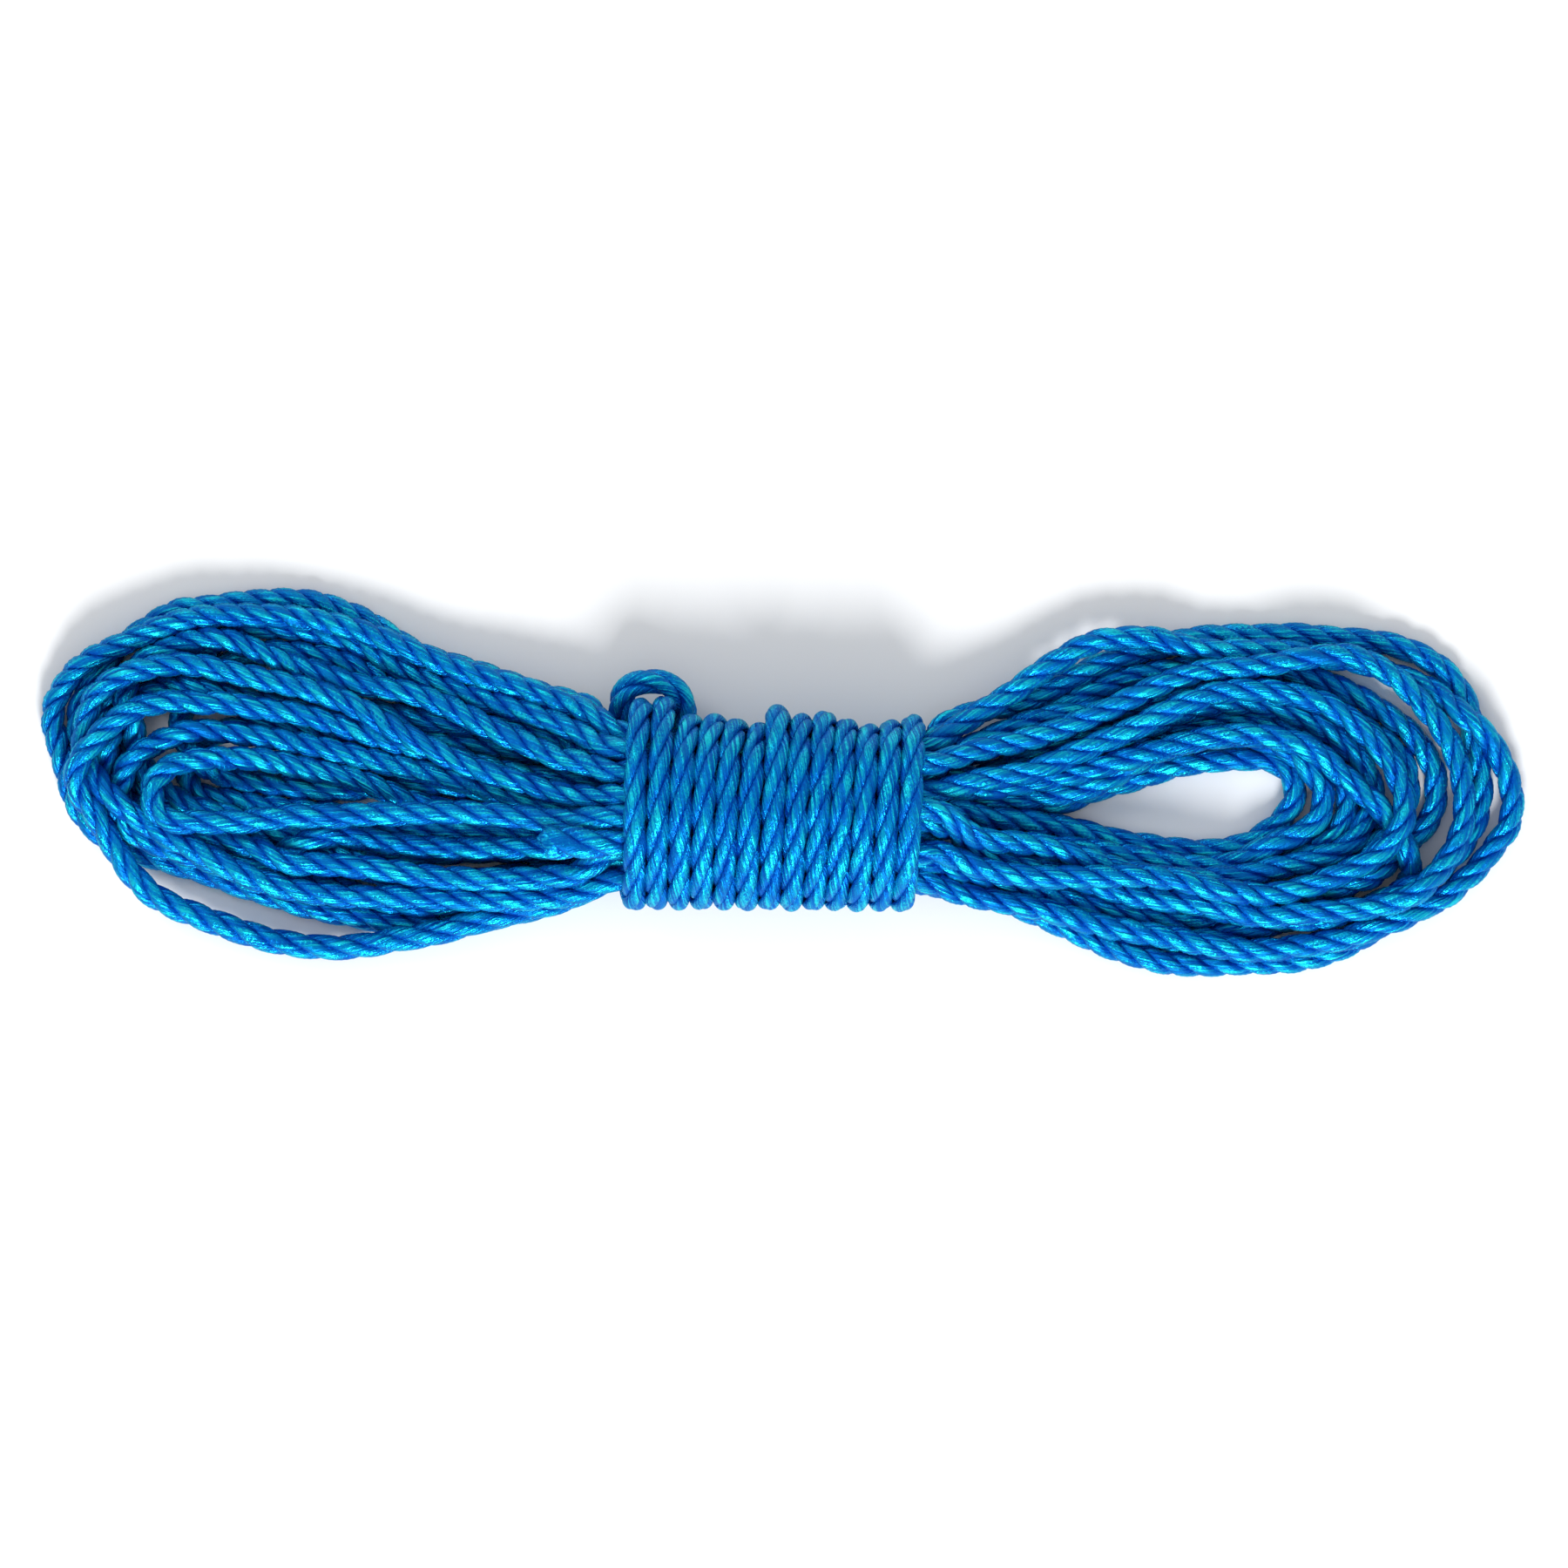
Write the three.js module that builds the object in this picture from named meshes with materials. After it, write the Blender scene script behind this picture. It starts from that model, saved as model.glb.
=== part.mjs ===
// A hank of three-strand laid rope: one length of rope, turned into a long skein, then bound round its
// waist by its own working end. Millimetres, +Z up, the hank lying flat on its underside.
// Every mesh is one stretch of the same rope, in the order in which the rope runs.
import * as THREE from 'three';

// Driving dimensions.
const ROPE_DIAMETER = 6.0; // over the strands, as the rope is sold
const SOLID_DIAMETER = 5.0; // of the plain solid that stands for it: neighbouring turns nest by up to a millimetre
const SIDES = 8; // of a turn's section
const TIP_WIDTH = 5.8; // the heat-sealed ends are pressed flatter and wider than the rope
const TIP_THICKNESS = 4.0;
const TIP_SIDES = 10;
const JOINT_GAP = 0.3; // between one stretch's end face and the next one's
const ORIGIN = [-0.39, -0.26, 0.12]; // the middle of the hank's footprint, at the level it rests on

const ROPE_BLUE = 0x0073be;
const TIP_BLUE = 0x0a86c4;

// The route of each stretch's centreline.
const ROUTE = {
  fused_tip_buried: [
    [-2.79, -13.33, 21.82], [-6.14, -13.34, 21.73], [-9.5, -13.29, 21.48]
  ],
  left_loop_01: [
    [-9.9, -13.28, 21.45], [-24.72, -13.05, 20.35], [-35.47, -12.89, 19.52], [-42.49, -10.93, 17.23], [-48.81, -13.31, 14.2],
    [-55.37, -15.97, 11.04], [-66.2, -14.04, 8.49], [-80.27, -12.93, 6.03], [-94.64, -12.22, 3.89], [-109.05, -9.29, 3], [-123.8, -7.18, 3],
    [-138.58, -5.22, 3], [-148.88, -3.21, 3], [-152.62, 0.23, 3], [-152.81, 5.13, 2.65], [-148.15, 10.37, 2.73], [-140.95, 13.99, 3],
    [-130.29, 14.71, 3], [-116, 12.64, 3], [-103.02, 10.32, 3], [-88.72, 10.65, 3], [-74.05, 9.1, 3], [-59.55, 6.32, 3.06], [-49.13, 2.67, 4.34],
    [-41.55, -2.47, 8.32], [-34.75, -3.59, 7.81], [-26.58, -2.55, 9.4], [-17.3, -3.03, 10.93], [-2.83, -2.74, 10.34]
  ],
  right_loop_01: [
    [-2.43, -2.73, 10.32], [12.15, -2.44, 9.72], [23.67, -2.64, 9.42], [33.31, 0.04, 8.59], [40.81, 1.3, 5.65], [48.94, 1.07, 3.74],
    [60.01, 5.54, 3], [72.94, 11.07, 3], [85.89, 13.19, 2.86], [100.39, 14.21, 2.89], [114.33, 16.17, 3], [124.67, 14.89, 2.96],
    [134.25, 10.22, 2.99], [141.64, 3.45, 3], [144.49, -3.09, 3], [143.47, -9.63, 2.97], [139.35, -15.06, 2.99], [129.33, -20.22, 3],
    [115.77, -24.62, 2.95], [104.62, -25.63, 2.96], [90.77, -23.69, 3], [76.54, -20.48, 3], [62.13, -18.14, 3], [49.61, -15.24, 3.18],
    [43.67, -11.77, 4.36], [39.29, -9.77, 8.13], [33.48, -11.04, 9.46], [24.93, -14.15, 9.27], [12.16, -14.1, 9.62], [-2.45, -13.87, 9.72]
  ],
  left_loop_02: [
    [-2.85, -13.86, 9.72], [-17.81, -13.62, 9.83], [-32.09, -14, 8.87], [-40.84, -14.1, 7.48], [-47.84, -15.32, 3.89], [-58.61, -17.91, 2.99],
    [-72.06, -17.68, 3], [-87, -18.14, 3], [-101.8, -19.34, 2.75], [-112.88, -21.32, 2.71], [-123.12, -19.74, 2.8], [-137.33, -15.21, 2.92],
    [-151.33, -9.98, 3], [-161.08, -4.94, 3], [-169.17, 4.52, 2.73], [-174.86, 12.5, 2.62], [-174.89, 18.54, 3], [-171.19, 25.08, 3],
    [-165.32, 28.81, 2.98], [-155.36, 30.13, 3], [-147.77, 34.06, 3], [-141.35, 38.89, 3], [-131.12, 39.74, 3], [-116.76, 37.8, 3],
    [-105.34, 33.52, 3.83], [-92.68, 26.77, 5.72], [-78.86, 21.84, 8.59], [-65.1, 17.58, 12.57], [-52.29, 12.57, 17.12], [-44.51, 9.18, 22.08],
    [-37.72, 8.7, 25.27], [-28.27, 6.32, 25.01], [-16.02, 2.9, 23.63], [-2.84, 2.2, 23.05]
  ],
  right_loop_02: [
    [-2.44, 2.18, 23.03], [12.19, 1.39, 22.39], [25.38, 0.85, 22.63], [34.24, 2.58, 21.05], [42.49, 5.89, 16.23], [52.52, 11.34, 11.94],
    [65.45, 16.04, 9], [76.96, 17.83, 6.78], [90.3, 19.02, 3.57], [101.43, 21.28, 3], [113.5, 24.42, 3], [125.03, 23.86, 3], [137.95, 20.07, 3],
    [149.92, 13.52, 3], [157.19, 7.5, 3], [160, 0.97, 3], [159.55, -6.07, 3], [154.99, -11.64, 2.92], [148.28, -19.98, 2.77], [142.17, -29.23, 2.84],
    [132.97, -33.96, 2.83], [120.57, -37.48, 3], [106.23, -40.33, 3], [94.28, -40.35, 2.99], [80.88, -36.45, 2.99], [67.26, -30.97, 3],
    [53.44, -26.82, 3.07], [41.68, -22.66, 5.11], [32.72, -19.73, 9.04], [25.28, -19.07, 11.68], [12.22, -19.2, 11.91], [-2.45, -19, 11.8]
  ],
  left_loop_03: [
    [-2.85, -18.99, 11.8], [-17.41, -18.79, 11.69], [-30.37, -18.92, 11.21], [-40.27, -19.55, 8.31], [-46.25, -23.08, 4.89], [-54.94, -28.78, 3.37],
    [-66.61, -33.04, 3], [-80.7, -36.14, 3], [-94.33, -36.75, 3], [-108.23, -34.78, 3], [-122.49, -31.86, 3], [-136.39, -27.55, 3],
    [-150.16, -22.82, 3], [-164.09, -18.67, 3], [-174.25, -14.1, 3], [-180.39, -7.8, 3], [-184.06, 2.29, 3], [-187.26, 13.93, 3.22],
    [-186.69, 21.11, 4.06], [-182.35, 27.56, 5.99], [-175.03, 32.72, 8.27], [-163.24, 38.05, 8.37], [-151.76, 42.02, 8.1], [-138.43, 42.76, 7.74],
    [-124.12, 42.16, 7.79], [-110.05, 39.23, 8.01], [-96.48, 34.32, 8.66], [-82.98, 28.96, 9.31], [-69.13, 24.79, 10.97], [-55.72, 20.16, 13.44],
    [-45.94, 15.15, 16.98], [-37.78, 11.91, 19.76], [-27.43, 9.82, 20.71], [-14.91, 7.66, 21.24], [-2.87, 7.51, 21.52]
  ],
  right_loop_03: [
    [-2.47, 7.5, 21.53], [12.04, 7.33, 21.87], [23.99, 6.19, 21.68], [33.41, 8.01, 20.29], [41.37, 12, 16.34], [52.1, 19.01, 12.63],
    [64.06, 27.13, 10.13], [75.63, 34.34, 8.63], [85.41, 36.78, 8.04], [96.32, 36.38, 8.5], [106.57, 33.93, 7.85], [119.58, 33.88, 7.23],
    [133.82, 32.73, 5.6], [147.58, 30.61, 4.03], [159.98, 26.48, 4.13], [169.07, 21.35, 6.06], [175.93, 15.47, 8.7], [181.42, 9.66, 6.98],
    [185.57, 0.99, 5.06], [186.57, -7.27, 4.48], [183.74, -14.39, 4.39], [175.77, -23.77, 4.93], [166.89, -30.68, 6.17], [155.92, -35.6, 8.47],
    [144.05, -39.84, 8.36], [130.42, -42.13, 7.33], [116.91, -42.88, 7.65], [103.01, -40.54, 8.68], [88.56, -38.05, 9.37], [74.37, -34.88, 11.4],
    [60.29, -31.3, 13.48], [46.36, -28.67, 15.21], [35.54, -25.24, 18.18], [26.18, -23.97, 21.14], [12.25, -23.39, 21.68], [-2.44, -23.37, 21.49]
  ],
  left_loop_04: [
    [-2.84, -23.37, 21.49], [-17.78, -23.34, 21.29], [-32.27, -23.47, 20.44], [-43.47, -24.67, 17.37], [-53.75, -28.3, 14.74],
    [-67.7, -29.78, 13.48], [-82.6, -29.8, 12.24], [-97.54, -29.28, 11.71], [-112.4, -29.11, 11.67], [-127, -26.98, 12.22], [-139.1, -22.78, 13.83],
    [-151, -16.68, 13.43], [-162.28, -10.68, 13.09], [-169.38, -5.53, 15.94], [-173.98, -0.61, 14.16], [-177.93, 5.55, 10.63],
    [-178.83, 12.24, 10.96], [-176.56, 20.49, 11.85], [-171.48, 25.76, 13.21], [-164, 28.75, 13.94], [-154.23, 30.18, 11.82], [-141.58, 28.2, 10.94],
    [-126.95, 25.11, 10.98], [-112.96, 20.95, 11.66], [-100.2, 14.07, 13.03], [-86.97, 7.25, 14.18], [-73.61, 1.81, 16.05], [-60, -2.1, 18.99],
    [-48.44, -3.81, 23.11], [-39.17, -3.1, 27.57], [-30.25, -3.49, 28.38], [-17.77, -3.96, 27.1], [-2.85, -3.4, 26.65]
  ],
  right_loop_04: [
    [-2.45, -3.38, 26.64], [11.61, -2.85, 26.21], [25.31, -3.16, 26.72], [37.14, -2.35, 24.72], [49.62, 0.49, 21.06], [62.65, 2.65, 18.17],
    [74.81, 7.69, 15.74], [88.33, 13.38, 14.07], [101.61, 19.75, 13.12], [113.19, 23.25, 11.88], [126.03, 23.08, 10.69], [138.03, 20.06, 10.02],
    [147.1, 13.96, 9.99], [154.72, 5.11, 10.53], [158.11, -3.27, 11.55], [157.85, -9.85, 14.08], [154.36, -15.58, 13.75], [147.1, -21.09, 12.68],
    [134.45, -26.27, 13.37], [122.57, -28.72, 14.89], [112.36, -27.54, 17.17], [101.04, -24.87, 17.1], [87.19, -23.74, 17.76],
    [72.46, -24.19, 18.15], [57.88, -23.43, 19.36], [45.99, -20.32, 21.52], [37.82, -17.61, 24.47], [27.05, -18.93, 25.96], [12.31, -19.58, 25.95],
    [-2.43, -19.18, 25.43]
  ],
  left_loop_05: [
    [-2.83, -19.17, 25.41], [-17.71, -18.76, 24.88], [-32.23, -17.96, 23.67], [-41.75, -16.79, 22.26], [-48.08, -19.96, 20.72],
    [-55.44, -23.77, 18.1], [-68.5, -24.62, 16.19], [-83.31, -24.47, 14.67], [-98.09, -22.94, 13.85], [-112.29, -21.25, 13.89],
    [-124.14, -21.03, 14.15], [-131.25, -18.4, 14.06], [-140.28, -15.37, 9.99], [-153.26, -12.15, 8.03], [-163.63, -8.21, 6.61],
    [-169.4, -3.51, 4.45], [-172.91, 1.79, 6.07], [-173.15, 7.65, 8.62], [-171.78, 13.2, 7.38], [-168.67, 17.65, 3.85], [-163.26, 22.41, 4.89],
    [-156.83, 24.61, 6.45], [-150.68, 23.96, 8.63], [-143.19, 22.38, 5.92], [-130.61, 20.35, 4.29], [-115.78, 19.2, 3.82], [-101.03, 17.49, 4.49],
    [-86.4, 15.35, 6.15], [-71.66, 14.22, 7.99], [-58.61, 11.76, 10.18], [-50.35, 7.28, 13.99], [-44.4, 4.31, 18.16], [-37.56, 5.51, 20.69],
    [-29.77, 4.87, 19.99], [-17.63, 2.19, 18.38], [-2.82, 1.28, 17.71]
  ],
  right_loop_05: [
    [-2.42, 1.26, 17.69], [12.52, 0.34, 17.01], [25.27, 0.39, 17.21], [36.04, 2.06, 14.15], [47.27, 1.26, 10.7], [57.5, 2.28, 8.68],
    [72.09, 5.14, 7.52], [86.03, 10.14, 8.07], [97.1, 15.93, 8.34], [108.58, 19.81, 7.34], [120.55, 20.21, 6.71], [132.45, 17.03, 6.07],
    [142.03, 11.31, 4.08], [148.71, 4.11, 3.33], [151.09, -2.69, 2.8], [149.71, -9.07, 3.96], [145.35, -15.41, 6.79], [137.75, -19.39, 7.86],
    [125.29, -22.11, 9.46], [114.04, -24.32, 11.69], [99.96, -24.54, 11.42], [85.8, -22.19, 12.42], [71.9, -17.82, 15.25], [59.27, -15.3, 18.75],
    [49.48, -14.08, 22.7], [43.19, -10.03, 27.44], [36.96, -6.82, 29.69], [26.41, -7.18, 30.5], [11.47, -7.13, 29.72], [-2.45, -7.74, 30]
  ],
  left_loop_06: [
    [-2.85, -7.76, 30], [-17.31, -8.39, 30.3], [-30.56, -8.83, 29.55], [-43.21, -8.69, 27.99], [-53.98, -9.74, 23.83], [-66.57, -8.86, 20.39],
    [-80.84, -7.71, 18.26], [-95.27, -7.9, 17], [-109.73, -8.34, 16.31], [-123.94, -8.55, 16.12], [-138.12, -9.99, 16.42], [-150.86, -10.11, 17.56],
    [-157.28, -9, 17.22], [-160.54, -5.31, 16.81], [-160.43, -0.52, 15.75], [-157.14, 3.43, 14.37], [-150.59, 5.67, 13.89], [-140.64, 6.15, 11.24],
    [-127.64, 4.7, 9.33], [-113.58, 1.74, 8.35], [-102.89, -1.82, 8.68], [-92.51, -5.79, 6.21], [-79.82, -7.62, 4.26], [-65.41, -8.7, 3.48],
    [-53.22, -8.27, 4.04], [-44.87, -7.49, 6.03], [-37.41, -8.87, 9.67], [-29.42, -8.49, 8.66], [-17.28, -8.1, 8.92], [-2.85, -8.04, 8.85]
  ],
  right_loop_06: [
    [-2.45, -8.04, 8.85], [12.32, -7.98, 8.78], [24.31, -8.21, 8.71], [33.38, -5.49, 9.23], [39.52, -4.32, 6.98], [45.7, -6.58, 3.69],
    [54.96, -7.92, 3.03], [68.21, -6.05, 3], [81.97, -1.45, 3], [96.07, 2.76, 3], [109.89, 5.46, 3], [122.29, 5.94, 3], [128.21, 3.71, 2.98],
    [130.95, -0.81, 3], [130, -6.25, 3], [124.92, -11.93, 3], [116.78, -16.28, 3], [105.67, -17.61, 3], [91.39, -15.87, 3], [78.31, -13.01, 3.64],
    [65.02, -10.4, 7.34], [53.28, -9.04, 11.3], [45.05, -7.01, 17.3], [37.4, -7.41, 19.82], [25.67, -9.78, 19.67], [12.29, -9.56, 19.12],
    [-2.44, -8.62, 19.32]
  ],
  left_loop_07: [
    [-2.84, -8.59, 19.33], [-17.77, -7.64, 19.54], [-30.16, -6.59, 19.53], [-37.48, -6.93, 16.34], [-46.99, -6.09, 11.11], [-60.72, -4.41, 7.43],
    [-75.24, -2.04, 4.68], [-90.07, -0.53, 3.18], [-104.34, -1.01, 2.89], [-119.27, -1.76, 3], [-134.08, -0.13, 3.08], [-144.21, 2.1, 4.59],
    [-148.98, 5.1, 7.97], [-152.43, 9.33, 8.09], [-154.58, 13.86, 5.12], [-153.55, 19.47, 3.08], [-148.99, 26.05, 2.74], [-140.27, 31.42, 2.96],
    [-130.42, 33.61, 2.89], [-117.59, 32.04, 3], [-106.12, 27.58, 3], [-94.29, 21.99, 3], [-79.96, 18.99, 3], [-65.71, 16.48, 3.59],
    [-54.8, 14.45, 5.88], [-47.82, 9.36, 8.69], [-42.44, 7.07, 13.56], [-36.68, 5.93, 15.27], [-28.02, 2.97, 13.3], [-17.53, 2.55, 12.6],
    [-2.84, 2.6, 12.34]
  ],
  right_loop_07: [
    [-2.44, 2.6, 12.34], [12.46, 2.65, 12.08], [24.31, 2.3, 12.2], [33.18, 5.29, 10.18], [44.67, 6.82, 6.22], [53.7, 9.69, 3.94],
    [66.29, 17.02, 2.97], [79.67, 23.57, 2.98], [92.92, 27.8, 3], [107.53, 30.13, 3], [122.03, 30.01, 2.97], [135.84, 26.92, 3], [149.26, 20.88, 3],
    [160.02, 13.22, 3], [165.83, 5.24, 3], [167.3, -2.4, 3], [165.45, -9.68, 3], [158.96, -15.37, 2.62], [154.25, -20.88, 4.27],
    [149.14, -24.68, 8.13], [141.86, -26.47, 8.28], [131.49, -28.47, 4.59], [120.74, -29.18, 3.17], [111.86, -32.82, 2.66], [102.55, -34.97, 3.02],
    [90.62, -33.92, 4.5], [76.34, -30.85, 7.28], [62.14, -27.15, 9.96], [48.71, -23.64, 14.07], [38, -20.18, 19.07], [26.91, -18.67, 20.58],
    [12.06, -18.11, 20.61], [-2.46, -18.28, 19.84]
  ],
  left_loop_08: [
    [-2.86, -18.29, 19.82], [-17.08, -18.44, 19.08], [-31.47, -18.09, 18.36], [-43.24, -18.76, 16.42], [-53.85, -22.68, 12.46],
    [-67.13, -26.81, 8.73], [-81.33, -30.17, 6.64], [-93.63, -31.64, 5.38], [-106.81, -29.26, 4.04], [-121.15, -26.07, 3.67],
    [-135.14, -21.97, 2.95], [-149.07, -17.22, 2.98], [-163.09, -13.06, 3], [-172.06, -8.6, 2.97], [-176.76, -2.13, 2.99], [-180.33, 9.84, 3],
    [-180.85, 18.44, 3], [-176.84, 26.98, 2.97], [-169.36, 35.49, 2.95], [-158.79, 42.63, 3], [-149.03, 44.84, 3], [-134.45, 46.5, 3],
    [-120.87, 46.14, 3], [-108.81, 42.12, 3], [-97.24, 35.07, 3], [-85.59, 30.35, 3.07], [-71.6, 25.91, 4.35], [-57.74, 21.62, 6.67],
    [-49.26, 18.58, 8.98], [-44.69, 13.52, 12.03], [-37.33, 11.76, 14.24], [-27.32, 8.45, 15.54], [-17.12, 6.92, 15.91], [-2.85, 6.64, 16.11]
  ],
  right_loop_08: [
    [-2.45, 6.63, 16.11], [12.53, 6.34, 16.32], [23.65, 5.67, 16.36], [32.91, 8.43, 14.59], [38.98, 11.42, 11.37], [44.23, 16.28, 8.62],
    [55.18, 19.07, 6.51], [66.77, 23.22, 5.13], [80.12, 29.66, 4.15], [93.41, 34, 2.92], [106.72, 37.14, 2.84], [121.06, 37.61, 3],
    [136.04, 37.48, 3], [150.93, 36.09, 3], [162.59, 32.91, 3], [170.44, 27.5, 2.97], [175.37, 19.86, 2.86], [177.36, 8.87, 2.85],
    [178.85, -3.13, 3], [176.64, -11.86, 3.31], [170.42, -20.02, 4.75], [164.68, -26.01, 8.3], [158.31, -28.02, 8.68], [149.23, -31.91, 6.68],
    [138.14, -34.88, 8.02], [127.46, -34.56, 8.3], [116.1, -33.68, 8.09], [107.22, -31.42, 7.99], [93.59, -29.12, 6.16], [78.94, -25.92, 5.95],
    [64.18, -23.31, 6.1], [49.81, -21.85, 8.17], [39.53, -21.19, 12.36], [32.85, -18.12, 14.57], [26, -15.51, 15.92], [12.54, -15.53, 15.88],
    [-2.45, -15.12, 15.53]
  ],
  left_loop_09: [
    [-2.85, -15.11, 15.52], [-17.49, -14.7, 15.17], [-31.89, -14.17, 14.54], [-41.43, -14.7, 13.06], [-47.9, -17.98, 9.38], [-54.71, -22.47, 6.09],
    [-65.66, -23.52, 4.29], [-80.18, -25.22, 3.58], [-92.57, -26.15, 4.28], [-102.45, -24.1, 6.6], [-109.38, -20.47, 8.65], [-117.82, -16.31, 6.18],
    [-126.56, -13.22, 5.18], [-136.62, -10.89, 6.48], [-147.12, -7.31, 7.48], [-156.56, -3.47, 7.21], [-162.51, 1.8, 7.23], [-165.49, 8.01, 6.1],
    [-166.02, 14.46, 9.53], [-168.25, 20.06, 9.78], [-167.64, 25.54, 8.34], [-163.59, 31.05, 8.34], [-155.81, 34.97, 7.64], [-147.17, 36.71, 8.43],
    [-138.51, 35.17, 8.36], [-127.04, 30.62, 8.14], [-113.11, 26.16, 8.34], [-99.17, 23.56, 9.76], [-86.58, 19.57, 11.63], [-73.58, 13.33, 14.26],
    [-60.8, 7.64, 17.55], [-50.64, 4.78, 21.27], [-41.39, 2.64, 25.27], [-29.7, 1.88, 28.27], [-17.47, 1.22, 28.95], [-2.86, 1.87, 28.39]
  ],
  right_loop_09: [
    [-2.46, 1.88, 28.38], [12.13, 2.53, 27.81], [25.8, 3.35, 27.39], [35.52, 4.46, 25.95], [44.56, 6.83, 21.62], [57.22, 9.83, 17.62],
    [71.02, 13.77, 14.78], [84.38, 19.41, 12.75], [97.45, 25.46, 11.41], [110.22, 28.74, 10.79], [124.63, 30.18, 11.21], [137.63, 32.26, 10.79],
    [146.79, 31.72, 9.78], [155.83, 26.92, 9.4], [164.92, 17.92, 8.78], [171.25, 7.77, 8.78], [173.74, -2.95, 9.24], [173.06, -12.24, 10.02],
    [168.87, -20.3, 11.54], [163.11, -26.56, 14.36], [156.73, -30.39, 13.67], [146.28, -32.42, 12.43], [132.71, -33.38, 13.89],
    [121.46, -34.23, 13.54], [111.33, -31.75, 13.91], [98.8, -30.16, 12.29], [84.58, -27.66, 11.81], [70.63, -23.4, 12.58], [56.75, -20.25, 14.68],
    [47.92, -16.44, 17.23], [42.14, -12.26, 21.41], [36.17, -10.2, 25.05], [26.72, -8.59, 25.15], [12.18, -8.46, 24.53], [-2.45, -8.85, 24.75]
  ],
  left_loop_10: [
    [-2.85, -8.87, 24.75], [-17.44, -9.27, 24.96], [-31.87, -9.38, 24], [-42.36, -8.1, 22.55], [-48.46, -10.24, 20.26], [-54.37, -15.51, 17.49],
    [-62.28, -16.66, 15.15], [-76.48, -17.02, 12.67], [-90.98, -16.66, 11.06], [-105.36, -14.85, 10.45], [-115.42, -13.71, 11.43],
    [-122.99, -15.51, 11.13], [-129.09, -18.95, 8.09], [-136.2, -21.19, 8.35], [-146.4, -20.34, 8.16], [-159.02, -16.39, 8.31],
    [-166.78, -12.38, 9.08], [-169.95, -7.36, 9.91], [-169.2, -0.47, 10.31], [-166.42, 5.68, 11.9], [-160.64, 9.73, 11.35], [-154.03, 12.63, 12.93],
    [-147.15, 13.2, 10.51], [-135.57, 11.84, 8.6], [-121.19, 9.38, 8.11], [-106.97, 6.09, 8.53], [-92.81, 2.68, 9.53], [-78.66, -0.62, 10.94],
    [-64.7, -4.37, 12.99], [-53.5, -5.93, 15.65], [-45.04, -3.69, 18.19], [-37.84, -3.06, 22.27], [-29.85, -2.16, 23.14], [-17.37, -2.51, 21.89],
    [-2.83, -3.29, 21.25]
  ],
  right_loop_10: [
    [-2.43, -3.31, 21.23], [12.43, -4.12, 20.57], [25.07, -4.4, 20.86], [37.63, -1.93, 19], [50.66, -1.45, 15.27], [64.19, 0.46, 12.8],
    [78.75, 3.53, 12.41], [92.71, 7.28, 12.37], [105.88, 10.82, 12.71], [118.53, 12.05, 12.3], [130.27, 10.23, 12.05], [138.3, 5.83, 10.22],
    [147.58, -2.17, 9.16], [154.41, -9.08, 8.35], [159.68, -16.82, 8.92], [160.89, -21.63, 5.56], [159.58, -26.86, 2.62], [156.08, -33.46, 3],
    [147.03, -40.58, 3], [135.4, -44.97, 3], [121.46, -46.34, 3], [106.65, -46.84, 3.34], [94.55, -45.58, 5.4], [81.26, -41.35, 6.21],
    [67.72, -35.17, 7.01], [53.99, -29.66, 8.07], [41.94, -27.4, 9.79], [33.45, -24.88, 13.2], [25.96, -22.45, 15.8], [12.46, -22.47, 16.15],
    [-2.45, -22.49, 15.87]
  ],
  left_loop_11: [
    [-2.85, -22.49, 15.86], [-17.8, -22.51, 15.58], [-31.76, -22.49, 15.15], [-42.1, -22.51, 12.47], [-51.6, -28.09, 9.27], [-63.03, -31.83, 8.59],
    [-77.49, -35.47, 8.74], [-91.97, -39.11, 8.05], [-106.57, -41.59, 6.54], [-121.01, -42, 6.25], [-135.52, -39.23, 6.76], [-149.59, -34.31, 7.82],
    [-160.82, -29.02, 9.12], [-168.07, -21.32, 10.52], [-175.11, -9.22, 12.87], [-180.01, -1.62, 14.94], [-179.98, 4.21, 16.5],
    [-175.63, 10.27, 15.97], [-169.25, 16.38, 15.54], [-161.57, 19.74, 13.95], [-151.55, 20.48, 12.82], [-140.05, 19.86, 10.95],
    [-125.72, 17.77, 9.38], [-111.48, 13.93, 8.49], [-97.22, 9.49, 8.55], [-82.8, 5.61, 7.98], [-68.3, 2.08, 8.88], [-54.15, 0.35, 11.1],
    [-43.28, -0.12, 13.94], [-36.41, 0.55, 18.27], [-29.15, -0.42, 17.94], [-17.72, -3.09, 16.33], [-2.82, -4, 15.59]
  ],
  right_loop_11: [
    [-2.42, -4.03, 15.57], [12.16, -4.92, 14.86], [26.05, -4.6, 15.33], [37.01, -3.38, 13.83], [46, -3.98, 10], [56.17, -4.17, 7.68],
    [70.48, -3.06, 8.22], [81.24, 0.04, 8.4], [93.16, 6.36, 6.68], [104.11, 10.7, 6.86], [114.56, 11.89, 6.81], [124.73, 10.27, 6.38],
    [131.72, 6.12, 6.79], [136.76, 0.28, 5.82], [138.02, -5.34, 5.38], [135.73, -10.43, 5.45], [129.25, -14.37, 6.4], [119.84, -18.32, 7.83],
    [111.05, -21.52, 7.02], [100.03, -21.01, 7.06], [85.65, -18.53, 7.34], [71.16, -16.6, 7.72], [56.86, -15.09, 8.15], [48.43, -12.61, 9.04],
    [43.21, -9.02, 12.36], [36.81, -8.76, 14.58], [26.44, -10.09, 14.34], [12.16, -10.42, 13.55], [-2.44, -9.82, 13.96]
  ],
  starting_hitch: [
    [-2.84, -9.8, 13.97], [-17.21, -9.21, 14.38], [-26.83, -7.62, 14.03], [-33.31, -2.91, 13.69], [-37.96, 2.18, 10.97], [-39.38, 8.23, 7.12],
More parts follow.
